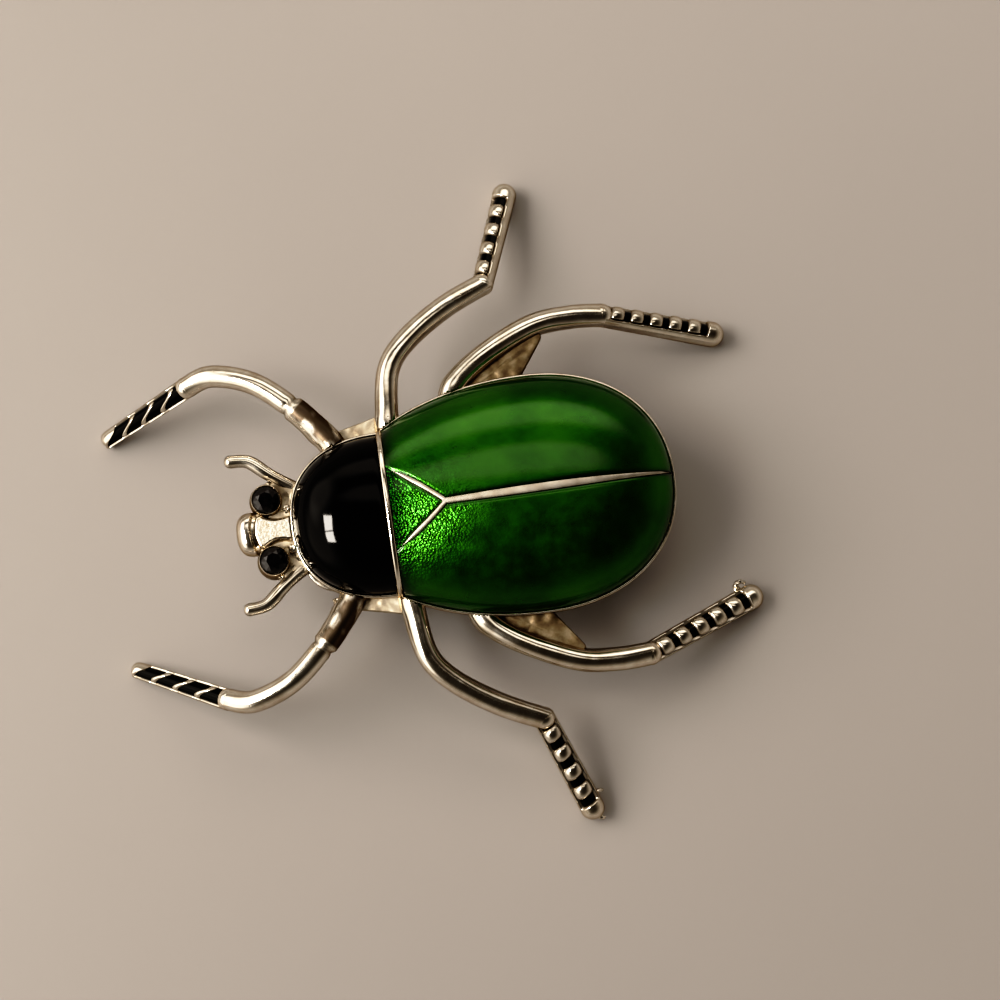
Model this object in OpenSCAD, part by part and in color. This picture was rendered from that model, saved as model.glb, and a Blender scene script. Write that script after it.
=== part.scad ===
// Beetle brooch: a cast metal beetle with domed enamel on its back and two faceted eye stones.
// It stands on its six feet on the plane z = 0, with its head towards -X.

/* [Body] */
// Width over both wing cases
wing_w = 18.7; // [16:0.1:22]
// Length of the wing cases, from the dividing wall to the tail
wing_len = 22.5; // [19:0.1:26]
// Height of the wing cases' dome over the base plate
wing_h = 4.9; // [3.5:0.1:6.5]
// Width of the neck shield at its rear edge
shield_w = 12.7; // [10:0.1:15]
// Length of the neck shield
shield_len = 7.5; // [6:0.1:9]
// Height of the neck shield's dome over the base plate
shield_h = 4.2; // [3:0.1:5.5]
// Thickness of the wall between the neck shield and the wing cases
wall_t = 0.42; // [0.3:0.02:0.8]
// Thickness of the base plate
plate_t = 1.6; // [1.2:0.1:2.5]
// Width of the metal rim round the enamel
rim_w = 0.28; // [0.2:0.02:0.6]
// Height of the rim's lip over the base plate
rim_h = 0.35; // [0.2:0.05:0.8]
// Height of the flat back over the surface that the feet stand on
back_z = 5.2; // [4.8:0.1:8]

/* [Enamel] */
// Thickness of the enamel on the back
enamel_t = 0.6; // [0.4:0.05:1]
// Gap between a piece and the metal that holds it
fit_gap = 0.04; // [0.02:0.01:0.1]
// Gap under the enamel domes
bed_gap = 0.12; // [0.08:0.01:0.2]
// Depth of the foot enamel below the metal's surface
foot_recess = 0.05; // [0.02:0.01:0.12]

/* [Scutellum and seam] */
// Width of the scutellum at the dividing wall, between the ribs' centre lines
scutellum_w = 6.6; // [5:0.1:8]
// Length of the scutellum, from the dividing wall to the point of the ribs
scutellum_len = 4.4; // [3:0.1:6]
// Width of the scutellum's ribs
rib_w = 0.36; // [0.25:0.01:0.6]
// Widest width of the seam's rib
seam_w = 0.6; // [0.4:0.02:1]
// Height of the wall and the ribs over the enamel
rib_rise = 0.08; // [0.04:0.01:0.2]

/* [Head] */
// Length of the head, from the neck shield to the front of the lobe
head_len = 4.7; // [4:0.1:6]
// Width of the head's base
head_w = 4.6; // [3.6:0.1:6]
// Thickness of the head's base
head_t = 1.1; // [0.8:0.1:2]
// Width of the polished lobe at the front of the head
lobe_w = 3.5; // [2.6:0.1:4.6]
// Height of the lobe
lobe_h = 2.2; // [1.6:0.1:3]
// Width of the raised plate between the eyes, at its front
face_w = 2.9; // [2:0.1:3.6]
// Height of the raised plate over the head's base
face_rise = 0.7; // [0.4:0.1:1.2]

/* [Eyes] */
// Diameter of an eye stone
stone_d = 2.1; // [1.8:0.05:2.5]
// Distance between the centres of the eye stones
eye_spacing = 4.9; // [4.4:0.1:6]
// Wall thickness of an eye cup
cup_wall = 0.2; // [0.15:0.01:0.35]
// Height of an eye cup's edge over the head's base
cup_rise = 1.1; // [0.8:0.1:1.6]

/* [Antennae] */
// Diameter of an antenna
antenna_d = 0.95; // [0.7:0.05:1.3]
// Length that an antenna reaches towards the front
antenna_reach = 5.1; // [4:0.1:7]
// Width that an antenna reaches to the side
antenna_span = 3; // [2:0.1:4]

/* [Legs] */
// Diameter of a leg's rod
leg_d = 1.85; // [1.5:0.05:2.3]
// Height of the leg roots' centre line over the flat back
leg_rise = 1.15; // [1:0.05:1.5]
// Length that a front leg reaches towards the front
front_reach = 18.8; // [16:0.1:22]
// Width that a front leg reaches to the side
front_span = 8; // [6:0.1:10]
// Length that a middle leg reaches towards the tail
mid_reach = 12.1; // [10:0.1:15]
// Width that a middle leg reaches to the side
mid_span = 19.2; // [16:0.1:23]
// Length that a hind leg reaches towards the tail
hind_reach = 22.1; // [19:0.1:26]
// Width that a hind leg reaches to the side
hind_span = 5.6; // [4:0.1:8]
// How far the right front foot is bent outwards at its tip
front_bend = 0.8; // [-1:0.1:1.5]
// How far the right hind foot is bent outwards at its tip
hind_bend = 1.2; // [-1:0.1:1.5]
// Thickness of the webs between the legs and the body
web_t = 0.9; // [0.6:0.1:1.2]

/* [Pin] */
// Length of the pin's bar
bar_len = 24; // [18:0.5:26]
// Width of the pin's bar
bar_w = 3; // [2:0.1:4]
// Thickness of the pin's bar
bar_t = 0.7; // [0.5:0.1:1]
// Diameter of the needle
needle_d = 0.8; // [0.6:0.05:1]
// Depth of the needle's centre line below the flat back
needle_drop = 2.6; // [2.2:0.1:3]
// Diameter of the round ends that hold the needle
knuckle_d = 2.2; // [1.6:0.1:2.6]
// Length of the needle's point past the catch
point_len = 1.4; // [0.8:0.1:2.5]

/* [Hidden] */

// The legs' routes from root to ankle and tip: shares of the leg's reach and span, and of the
// height of its root over its tip. The last row is the tip, the row before it the ankle.
ALONG = 0;
OUT = 1;
UP = 2;
front_route = [
    [0, 0, 1], [0.048, 0.19, 1.02], [0.16, 0.51, 1.03], [0.324, 0.85, 0.97], [0.505, 1, 0.82],
    [0.622, 0.94, 0.66], [1, 0.5, 0],
];
mid_route = [
    [0, 0, 1], [0.008, 0.09, 1.02], [0.058, 0.28, 1], [0.207, 0.4, 0.93], [0.479, 0.52, 0.78],
    [0.76, 0.604, 0.58], [1, 1, 0],
];
hind_route = [
    [0, 0, 1], [0.036, 0.29, 1.02], [0.154, 0.63, 1.02], [0.335, 0.95, 0.93], [0.48, 1.02, 0.8],
    [0.597, 1, 0.66], [1, 0.375, 0],
];
antenna_route = [[0, 0, 0], [0.25, 0.3, 0.35], [0.46, 0.57, 0.5], [0.72, 0.93, 0.55], [1, 1, 0.45]];

// The feet: number of grooves, slant of a groove in degrees, groove's share of its pitch, and the
// widths at ankle and tip as shares of the leg's diameter.
GROOVES = 0;
SLANT = 1;
GROOVE_SHARE = 2;
ANKLE_SHARE = 3;
TIP_SHARE = 4;
front_foot = [4, 32, 0.8, 0.94, 0.74];
// The left front foot is cut along the same slant as the right one, and not as its mirror
left_front_foot = [for (i = [0 : len(front_foot) - 1]) i == SLANT ? -front_foot[i] : front_foot[i]];
mid_foot = [5, 8, 0.4, 0.98, 1.08];
hind_foot = [6, 8, 0.42, 1.02, 1.14];

// The sides: the beetle's right is +Y and its left is -Y.
RIGHT = 1;
LEFT = -1;

// Section exponents of the outlines and domes
wing_power = 2.2;
shield_power = 2.3;
tail_power = 2.4;
front_power = 2.6;
arch_power = 2.3;

// Counts of stations, columns and sides
shield_stations = 10;
fore_stations = 3;
rear_stations = 11;
core_shield_stations = 5;
core_fore_stations = 2;
core_rear_stations = 6;
arch_columns = 16;
core_columns = 10;
wing_columns = 10;
arm_steps = 6;
scutellum_steps = 5;
scutellum_columns = 3;
leg_sides = 8;
foot_sides = 12;
groove_steps = 5;
joint_sides = 10;
cup_sides = 24;
lobe_sides = 20;
pin_sides = 32;
// Angle of the last station of a dome, just short of its closed end
last_angle = 85;

// Places along the body
plate_top = back_z + plate_t;
wall_half = wall_t / 2;
wall_overlap = -0.6 * wall_half;
outline_overlap = 0.7 * wall_overlap;
wall_crown = 0.06;
apex_x = wall_half + scutellum_len;
wing_wide_x = wing_len / 2 + wall_half;
wing_rear = wing_len / 2;
wing_front_run = 1.39 * wing_wide_x;
fore_drop = 0.12;
shield_front_x = -wall_half - shield_len;
head_front_x = shield_front_x - head_len;
head_z = back_z + 0.2;
face_front_x = head_front_x + 0.36 * head_len;
eye_x = shield_front_x - 0.41 * head_len;
eye_y = eye_spacing / 2;
cup_r = stone_d / 2 + fit_gap + cup_wall;
girdle_z = head_z + head_t + cup_rise;

// How far the lip, the cores and the ribs run into the metal below them
lip_root = 0.1;
core_root = 0.3;
rib_root = 0.2;
rib_depth = 1.4;
// How far the seam's rib runs into the scutellum's ribs, and how far it stands over them
seam_overlap = 0.12;
seam_rise = 0.03;

// The head: length of the lobe and widths of the base's front and rear, as shares
lobe_share = 0.27;
base_front_share = 0.8;
base_rear_share = 0.9;
base_setback = 1.2;
face_overlap = 0.05;
seat_share = 0.35;
// The raised plate between the eyes: place along it and width, as shares
PLACE = 0;
WIDTH = 1;
face_rows = [[0, 0.62], [0.1, 0.95], [0.18, 1], [0.35, 0.78], [0.55, 0.64], [0.8, 0.62], [1, 0.68]];

// The eye stones: heights and widths as shares of the stone's diameter, and counts of sides
crown_share = 0.19;
table_share = 0.55;
pavilion_share = 0.3;
culet_share = 0.15;
girdle_t = 0.06;
facet_t = 0.02;
table_sides = 8;
girdle_sides = 2 * table_sides;
girdle_turn = 180 / girdle_sides;

// Leg roots
leg_r = leg_d / 2;
root_z = back_z + leg_rise;
front_root = [-0.44 * shield_len, 0.41 * shield_w];
mid_root = [0.032 * wing_len, 0.33 * wing_w];
hind_root = [0.263 * wing_len, 0.44 * wing_w];
antenna_root = [shield_front_x + 0.09 * shield_len, 0.235 * shield_w];

hip_share = 1.1;
joint_share = 1.015;
web_lift = 0.15;
web_edge = 0.3;
web_inset = 0.4;
cut_depth = 0.05;

// Feet: width of the grooves and depth of their floor as shares of the foot's radius, roll of the
// grooves on each side, start of the first groove, and how far the cut reaches out of the metal
rail_share = 0.78;
floor_share = 0.35;
right_roll = 28;
left_roll = 4;
front_roll_share = 0.5;
foot_start = 0.15;
groove_reach = 0.3;
end_angles = [0, 30, 55, 75];

// The pin's overlaps and the width of its point
pin_overlap = 0.1;
point_d = 0.1;

// Route of a leg from its root, for a leg on the right, with its tip bent outwards
function placed(route, root, reach, span, foot, bend) =
    let (tip_r = leg_r * foot[TIP_SHARE])
    [
        for (row = route) [
            root[0] + reach * row[ALONG],
            root[1] + span * row[OUT] + (row[ALONG] == 1 ? bend : 0),
            tip_r + (root_z - tip_r) * row[UP],
        ]
    ];
function front_path(side) =
    placed(front_route, front_root, -front_reach, front_span, front_foot, side == RIGHT ? front_bend : 0);
function mid_path(side) = placed(mid_route, mid_root, mid_reach, mid_span, mid_foot, 0);
function hind_path(side) =
    placed(hind_route, hind_root, hind_reach, hind_span, hind_foot, side == RIGHT ? hind_bend : 0);
front_tip_x = front_root[0] - front_reach - leg_r * front_foot[TIP_SHARE];
hind_tip_x = hind_root[0] + hind_reach + leg_r * hind_foot[TIP_SHARE];
middle_x = (front_tip_x + hind_tip_x) / 2;

// Half width, height and place of the neck shield at a share angle, grown outwards
function shield_x(a, grow) = -wall_half - (shield_len + grow) * pow(sin(a), 2 / shield_power);
function shield_half(a, grow) = (shield_w / 2 + grow) * pow(cos(a), 2 / shield_power);
function shield_top(a, grow) =
    (shield_h + grow)
    * pow(1 - pow(pow(sin(a), 2 / shield_power), front_power), 1 / front_power);

// The same for the wing cases' rear half
function tail_x(a, grow) = wing_wide_x + (wing_rear + grow) * pow(sin(a), 2 / wing_power);
function tail_half(a, grow) = (wing_w / 2 + grow) * pow(cos(a), 2 / wing_power);
function tail_top(a, grow) =
    (wing_h + grow) * pow(1 - pow(pow(sin(a), 2 / wing_power), tail_power), 1 / tail_power);

// The same for the wing cases' front half, by place
function fore_half(x, grow) =
    wing_w / 2 * sqrt(1 - pow((wing_wide_x - x) / wing_front_run, 2)) + grow;
function fore_top(x, grow) = wing_h * (1 - fore_drop * pow((wing_wide_x - x) / wing_wide_x, 2)) + grow;

// Stations of the two domes: each is [x, half width, height], grown outwards
function shield_list(grow, end_gap, count = shield_stations) = [
    for (i = [0 : count])
        let (a = last_angle * (1 - i / count))
        let (x = i < count ? shield_x(a, grow) : -wall_half - end_gap)
        [x, shield_half(a, grow), shield_top(a, grow)]
];
function wing_list(grow, end_gap, fore = fore_stations, rear = rear_stations) = concat(
    [
        for (x = even_steps(wall_half + end_gap, apex_x, fore))
            [x, fore_half(x, grow), fore_top(x, grow)]
    ],
    [
        for (x = even_steps(apex_x, wing_wide_x, fore))
            [x, fore_half(x, grow), fore_top(x, grow)]
    ],
    [
        for (i = [0 : rear])
            let (a = last_angle * i / rear)
            [tail_x(a, grow), tail_half(a, grow), tail_top(a, grow)]
    ]
);
// Even steps from a start up to, but without, an end
function even_steps(start, end, count) = [
    for (i = [0 : count - 1]) start + (end - start) * i / count
];

// A point on the arch of a station, at an angle from the crown
function arch_point(station, a) = [
    station[0],
    station[1] * sign(a) * pow(abs(sin(a)), 2 / arch_power),
    plate_top + station[2] * pow(abs(cos(a)), 2 / arch_power),
];
function arch_angle(station, y) = asin(pow(min(abs(y) / station[1], 1), arch_power / 2)) * sign(y);

// Rows of points across a dome, from one angle to another at each station
function arch_grid(stations, columns, low, high) = [
    for (i = [0 : len(stations) - 1]) [
        for (j = [0 : columns])
            arch_point(stations[i], low[i] + (high[i] - low[i]) * j / columns)
    ]
];
function all_same(stations, angle) = [for (s = stations) angle];

// Height of the wing cases' dome over a point of the plan
function wing_z(x, y) =
    let (
        share = (x - wing_wide_x) / wing_rear,
        half = x < wing_wide_x
            ? fore_half(x, 0)
            : wing_w / 2 * pow(max(1 - pow(share, wing_power), 0), 1 / wing_power),
        top = x < wing_wide_x
            ? fore_top(x, 0)
            : wing_h * pow(max(1 - pow(share, tail_power), 0), 1 / tail_power)
    )
    plate_top + top * pow(max(1 - pow(min(abs(y) / half, 1), arch_power), 0), 1 / arch_power);

// Half width of the scutellum between its ribs' centre lines, bowed slightly outwards
scutellum_bow = 0.18;
function scutellum_half(x) =
    let (s = min((x - wall_half) / scutellum_len, 1))
    scutellum_w / 2 * (1 - s) * (1 + scutellum_bow * s);
rib_slope = atan(scutellum_w / 2 / scutellum_len);
rib_side = rib_w / 2 / cos(rib_slope);
seam_end_half = 0.06;
// Half width of the seam's rib: a spindle from the ribs' width to a thin end at the tail
function seam_half(x) =
    let (
        s = min(max((x - apex_x) / (wing_len - scutellum_len), 0), 1),
        straight = rib_side * (1 - s) + seam_end_half * s
    )
    straight + (seam_w / 2 - (rib_side + seam_end_half) / 2) * sin(180 * s);
// Half width over all ribs at a place behind the dividing wall
function spine_half(x) = scutellum_half(x) + seam_half(x);
// Place where the two ribs of the scutellum have run together, and where its enamel ends
join_x = wall_half + scutellum_len * (1 - 1.44 * rib_side / scutellum_w);
scutellum_end_x = wall_half + 0.84 * scutellum_len;

// Closed solid between an upper and a lower grid of points, X by rows and Y by columns
module slab(top, bottom) {
    rows = len(top);
    cols = len(top[0]);
    count = rows * cols;
    function up(i, j) = i * cols + j;
    function down(i, j) = count + i * cols + j;
    quads = concat(
        [
            for (i = [0 : rows - 2], j = [0 : cols - 2])
                [up(i, j), up(i, j + 1), up(i + 1, j + 1), up(i + 1, j)]
        ],
        [
            for (i = [0 : rows - 2], j = [0 : cols - 2])
                [down(i, j), down(i + 1, j), down(i + 1, j + 1), down(i, j + 1)]
        ],
        [
            for (i = [0 : rows - 2])
                [up(i, 0), up(i + 1, 0), down(i + 1, 0), down(i, 0)]
        ],
        [
            for (i = [0 : rows - 2])
                [up(i + 1, cols - 1), up(i, cols - 1), down(i, cols - 1), down(i + 1, cols - 1)]
        ],
        [
            for (j = [0 : cols - 2])
                [up(0, j + 1), up(0, j), down(0, j), down(0, j + 1)]
        ],
        [
            for (j = [0 : cols - 2])
                [up(rows - 1, j), up(rows - 1, j + 1), down(rows - 1, j + 1), down(rows - 1, j)]
        ]
    );
    faces = [for (q = quads) each [[q[0], q[1], q[2]], [q[0], q[2], q[3]]]];
    polyhedron(points = concat([for (r = top) each r], [for (r = bottom) each r]), faces = faces);
}

// Closed solid through rings of equal count, closed by a fan at each end
module rings_solid(rings) {
    sides = len(rings[0]);
    last = len(rings) - 1;
    walls = [
        for (i = [0 : last - 1], k = [0 : sides - 1])
            let (n = (k + 1) % sides)
            let (a = i * sides, b = (i + 1) * sides)
            each [[b + n, a + n, a + k], [b + n, a + k, b + k]]
    ];
    start = [for (k = [1 : sides - 2]) [0, k, k + 1]];
    end = [for (k = [1 : sides - 2]) [last * sides, last * sides + k + 1, last * sides + k]];
    polyhedron(points = [for (r = rings) each r], faces = concat(walls, start, end));
}

function unit(v) = v / norm(v);
function ring_at(p, t, r, sides) =
    let (n = unit([-t[1], t[0], 0]), b = cross(unit(t), n))
    [for (k = [0 : sides - 1]) let (a = 360 * k / sides) p + r * (cos(a) * n + sin(a) * b)];

// Smooth curve through points
function curve_point(p, i, s) =
    let (
        a = p[max(i - 1, 0)],
        b = p[i],
        c = p[i + 1],
        d = p[min(i + 2, len(p) - 1)]
    )
    0.5 * (2 * b + (c - a) * s + (2 * a - 5 * b + 4 * c - d) * s * s
        + (3 * b - a - 3 * c + d) * s * s * s);
function curve(p, steps) = concat(
    [for (i = [0 : len(p) - 2], s = [0 : steps - 1]) curve_point(p, i, s / steps)],
    [p[len(p) - 1]]
);
function tangent(p, i) = p[min(i + 1, len(p) - 1)] - p[max(i - 1, 0)];

// Rod of even or tapering radius along a route
module rod(route, r_start, r_end, sides) {
    path = curve(route, 2);
    last = len(path) - 1;
    rings_solid([
        for (i = [0 : last])
            ring_at(path[i], tangent(path, i), r_start + (r_end - r_start) * i / last, sides)
    ]);
}

// Frame of a foot: its X axis runs from ankle to tip, and its grooves roll away from the tail, by
// half as much on a foot that points forwards
module foot_frame(ankle, tip, side) {
    t = unit(tip - ankle);
    n = unit([-t[1], t[0], 0]);
    b = cross(t, n);
    roll = (side == RIGHT ? right_roll : left_roll) * (t[0] < 0 ? front_roll_share : 1);
    multmatrix([
        [t[0], n[0], b[0], ankle[0]],
        [t[1], n[1], b[1], ankle[1]],
        [t[2], n[2], b[2], ankle[2]],
        [0, 0, 0, 1],
    ]) rotate([-roll, 0, 0]) children();
}

// Radius of a foot at a distance from the ankle
function foot_r(foot, length, x) =
    leg_r * (foot[ANKLE_SHARE] + (foot[TIP_SHARE] - foot[ANKLE_SHARE]) * min(x / length, 1));
// Pitch, width and start of a foot's grooves
function groove_pitch(foot, length) =
    (length - foot_start) / (foot[GROOVES] - 0.5 + foot[GROOVE_SHARE] / 2);
function groove_width(foot, length) = groove_pitch(foot, length) * foot[GROOVE_SHARE];
function groove_x(foot, length, k) = foot_start + groove_pitch(foot, length) * k;

// Ring across the enamel of a groove: the foot's round section above the groove's floor
function groove_ring(foot, length, x, r, inset) =
    let (
        half = rail_share * leg_r * foot[ANKLE_SHARE] - inset,
        low = -floor_share * leg_r * foot[ANKLE_SHARE] + inset,
        edge = acos(half / r),
        section = concat(
            [[half, low]],
            [
                for (k = [0 : groove_steps])
                    let (a = edge + (180 - 2 * edge) * k / groove_steps)
                    [r * cos(a), r * sin(a)]
            ],
            [[-half, low]]
        )
    )
    [for (p = section) [x + p[0] * tan(foot[SLANT]), p[0], p[1]]];

// Enamel of one groove, between its two ends
module groove_enamel(foot, length, k) {
    x0 = groove_x(foot, length, k) + fit_gap;
    x1 = groove_x(foot, length, k) + groove_width(foot, length) - fit_gap;
    rings_solid([
        for (x = [x0, x1]) groove_ring(foot, length, x, foot_r(foot, length, x) - foot_recess, fit_gap)
    ]);
}

// Foot's rod with its round end
module foot_rod(foot, ankle, tip, side) {
    length = norm(tip - ankle);
    tip_r = leg_r * foot[TIP_SHARE];
    profile = concat(
        [[0, 0], [leg_r * foot[ANKLE_SHARE], 0]],
        [for (a = end_angles) [tip_r * cos(a), length + tip_r * sin(a)]],
        [[0, length + tip_r * sin(end_angles[len(end_angles) - 1])]]
    );
    foot_frame(ankle, tip, side)
        rotate([0, 90, 0]) rotate_extrude($fn = foot_sides) polygon(profile);
}

// What the grooves take from a foot
module foot_grooves(foot, ankle, tip, side) {
    length = norm(tip - ankle);
    half = rail_share * leg_r * foot[ANKLE_SHARE];
    low = -floor_share * leg_r * foot[ANKLE_SHARE];
    foot_frame(ankle, tip, side)
        multmatrix([[1, tan(foot[SLANT]), 0, 0], [0, 1, 0, 0], [0, 0, 1, 0], [0, 0, 0, 1]])
            for (k = [0 : foot[GROOVES] - 1])
                translate([groove_x(foot, length, k), -half, low])
                    cube([groove_width(foot, length), 2 * half, leg_d + groove_reach]);
}

// Foot's enamel, one small solid in each groove
module foot_enamel(foot, path, side) {
    ankle = path[len(path) - 2];
    tip = path[len(path) - 1];
    length = norm(tip - ankle);
    color("black")
        centred(side)
            foot_frame(ankle, tip, side)
                for (k = [0 : foot[GROOVES] - 1]) groove_enamel(foot, length, k);
}

// Moves a piece to the origin's place, mirrored to its side
module centred(side) {
    translate([-middle_x, 0, 0]) scale([1, side, 1]) children();
}

// Leg with a thicker hip that runs from the plate to a point of its route
module leg(path, foot, hip_end, side) {
    last = len(path) - 1;
    ankle = path[last - 1];
    difference() {
        union() {
            rod([for (i = [0 : last - 1]) path[i]], leg_r, leg_r * foot[ANKLE_SHARE], leg_sides);
            translate(ankle) sphere(r = joint_share * leg_r * foot[ANKLE_SHARE], $fn = joint_sides);
            foot_rod(foot, ankle, path[last], side);
        }
        foot_grooves(foot, ankle, path[last], side);
    }
    for (i = [0 : hip_end - 1]) hull() {
        translate(path[i]) sphere(r = leg_r * hip_share, $fn = joint_sides);
        translate(path[i + 1]) sphere(r = leg_r * hip_share, $fn = joint_sides);
    }
}

// Flat web between a leg and the body, through four corners
module web(corners) {
    hull()
        for (c = corners)
            translate([c[0], c[1], back_z + web_lift]) cylinder(r = web_edge, h = web_t, $fn = leg_sides);
}

module webs(side) {
    front = front_path(side);
    mid = mid_path(side);
    hind = hind_path(side);
    web([front_root, front[1], mid[1], mid_root]);
    web([
        hind_root,
        hind[2],
        [hind[3][0] + web_inset, hind[3][1] - leg_r],
        [wing_wide_x - web_inset, wing_w / 2 - web_inset],
    ]);
}

// The three legs of one side, cut off where the enamel lies
module side_legs(side) {
    difference() {
        union() {
            leg(front_path(side), side == RIGHT ? front_foot : left_front_foot, 2, side);
            leg(mid_path(side), mid_foot, 1, side);
            leg(hind_path(side), hind_foot, 1, side);
        }
        translate([0, 0, plate_top - cut_depth]) linear_extrude(wing_h) polygon(body_outline(rim_w / 2));
    }
    webs(side);
}

// Outline of the body from above, grown outwards
function body_outline(grow) =
    let (
        shield = [for (s = shield_list(grow, outline_overlap)) [s[0], s[1]]],
        wing = [for (s = wing_list(grow, outline_overlap)) [s[0], s[1]]],
        half = concat(shield, wing)
    )
    concat(half, [for (i = [len(half) - 1 : -1 : 0]) [half[i][0], -half[i][1]]]);

// Base plate with the lip round the enamel
module base_plate() {
    translate([0, 0, back_z]) linear_extrude(plate_t) polygon(body_outline(rim_w));
    translate([0, 0, plate_top - lip_root]) linear_extrude(rim_h + lip_root) difference() {
        polygon(body_outline(rim_w));
        polygon(body_outline(fit_gap));
    }
}

// Metal under an enamel dome
module core(stations, columns) {
    top = arch_grid(stations, columns, all_same(stations, -90), all_same(stations, 90));
    low = [for (r = top) [for (p = r) [p[0], p[1], plate_top - core_root]]];
    slab(top, low);
}

// Wall across the back, between the neck shield and the wing cases
module dividing_wall() {
    half = fore_half(wall_half, rim_w / 2);
    top = fore_top(wall_half, rib_rise);
    side_top = top - wall_crown;
    core([[-wall_half, half, side_top], [0, half, top], [wall_half, half, side_top]], arch_columns);
}

// Rib that follows the wing dome between two edges, given by place along the body
module rib(xs, low_edge, high_edge, rise) {
    top = [
        for (i = [0 : len(xs) - 1]) [
            for (j = [0 : 2])
                let (y = low_edge[i] + (high_edge[i] - low_edge[i]) * j / 2)
                [xs[i], y, wing_z(xs[i], y) + (j == 1 ? rise : rise / 3)]
        ]
    ];
    bottom = [for (r = top) [for (p = r) [p[0], p[1], max(p[2] - rib_depth, plate_top - rib_root)]]];
    slab(top, bottom);
}

// The two ribs of the scutellum and the seam's rib between the wing cases
module ribs() {
    arm_x = concat(even_steps(wall_half / 2, join_x, arm_steps), [join_x]);
    for (side = [RIGHT, LEFT]) {
        low = [for (x = arm_x) side * scutellum_half(x) - rib_side];
        high = [for (x = arm_x) side * scutellum_half(x) + rib_side];
        rib(arm_x, low, high, rib_rise);
    }
    seam_x = concat(
        [join_x - seam_overlap],
        [for (s = wing_list(0, fit_gap)) if (s[0] > join_x) s[0]]
    );
    seam_side = [for (x = seam_x) spine_half(x) - (x < join_x ? rib_side / 2 : 0)];
    rib(seam_x, -seam_side, seam_side, rib_rise + seam_rise);
}

module head() {
    // Base between the neck shield and the lobe
    hull() {
        translate([shield_front_x + base_setback, 0, head_z])
            cylinder(d = head_w * base_rear_share, h = head_t, $fn = cup_sides);
        translate([eye_x, 0, head_z]) cylinder(d = head_w * base_front_share, h = head_t, $fn = cup_sides);
    }
    // Polished lobe
    lobe_len = lobe_share * head_len;
    translate([head_front_x + lobe_len, 0, head_z])
        intersection() {
            scale([lobe_len, lobe_w / 2, lobe_h]) sphere(r = 1, $fn = lobe_sides);
            translate([-head_len, -lobe_w, 0]) cube([2 * head_len, 2 * lobe_w, 2 * lobe_h]);
        }
    // Raised plate with a waist
    face_len = shield_front_x - face_overlap - face_front_x;
    side_line = [for (r = face_rows) [face_front_x + face_len * r[PLACE], r[WIDTH] * face_w / 2]];
    other_line = [for (i = [len(side_line) - 1 : -1 : 0]) [side_line[i][0], -side_line[i][1]]];
    translate([0, 0, head_z]) linear_extrude(head_t + face_rise) polygon(concat(side_line, other_line));
    for (side = [RIGHT, LEFT]) {
        eye_cup(side);
        antenna(side);
    }
}

// Open cup that holds an eye stone by its edge
module eye_cup(side) {
    seat = girdle_z - seat_share * stone_d;
    translate([eye_x, side * eye_y, 0]) difference() {
        translate([0, 0, head_z]) cylinder(r = cup_r, h = girdle_z - head_z, $fn = cup_sides);
        translate([0, 0, seat]) cylinder(r = stone_d / 2 + fit_gap, h = stone_d, $fn = cup_sides);
    }
}

module antenna(side) {
    route = [
        for (row = antenna_route) [
            antenna_root[0] - antenna_reach * row[ALONG],
            antenna_root[1] + antenna_span * row[OUT],
            head_z + head_t / 2 + head_t * row[UP],
        ]
    ];
    scale([1, side, 1]) {
        rod(route, antenna_d / 2, antenna_d / 2, leg_sides);
        translate(route[len(route) - 1]) sphere(d = antenna_d, $fn = leg_sides);
    }
}

module casting() {
    color("silver") translate([-middle_x, 0, 0]) union() {
        base_plate();
        core(shield_list(-enamel_t - bed_gap, wall_overlap, core_shield_stations), core_columns);
        core(
            wing_list(-enamel_t - bed_gap, wall_overlap, core_fore_stations, core_rear_stations),
            core_columns
        );
        dividing_wall();
        ribs();
        head();
        for (side = [RIGHT, LEFT]) scale([1, side, 1]) side_legs(side);
    }
}

module pronotum_enamel() {
    outer = shield_list(0, fit_gap);
    inner = shield_list(-enamel_t, fit_gap);
    top = arch_grid(outer, arch_columns, all_same(outer, -90), all_same(outer, 90));
    bottom = arch_grid(inner, arch_columns, all_same(inner, -90), all_same(inner, 90));
    color("black") centred(RIGHT) translate([0, 0, fit_gap]) slab(top, bottom);
}

// Enamel of one wing case, from the ribs to the rim
module wing_enamel(side) {
    outer = wing_list(0, fit_gap);
    inner = wing_list(-enamel_t, fit_gap);
    outer_low = [for (s = outer) arch_angle(s, spine_half(s[0]) + fit_gap)];
    inner_low = [for (i = [0 : len(inner) - 1]) arch_angle(inner[i], spine_half(outer[i][0]) + fit_gap)];
    top = arch_grid(outer, wing_columns, outer_low, all_same(outer, 90));
    bottom = arch_grid(inner, wing_columns, inner_low, all_same(inner, 90));
    color("darkgreen") centred(side) translate([0, 0, fit_gap]) slab(top, bottom);
}

module scutellum_enamel() {
    start = wall_half + fit_gap;
    xs = concat(even_steps(start, scutellum_end_x, scutellum_steps), [scutellum_end_x]);
    halves = [for (x = xs) scutellum_half(x) - rib_side - fit_gap];
    top = [
        for (i = [0 : len(xs) - 1]) [
            for (j = [-scutellum_columns : scutellum_columns])
                let (y = halves[i] * j / scutellum_columns)
                [xs[i], y, wing_z(xs[i], y)]
        ]
    ];
    bottom = [for (r = top) [for (p = r) [p[0], p[1], p[2] - enamel_t]]];
    color("darkgreen") centred(RIGHT) translate([0, 0, fit_gap]) slab(top, bottom);
}

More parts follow.
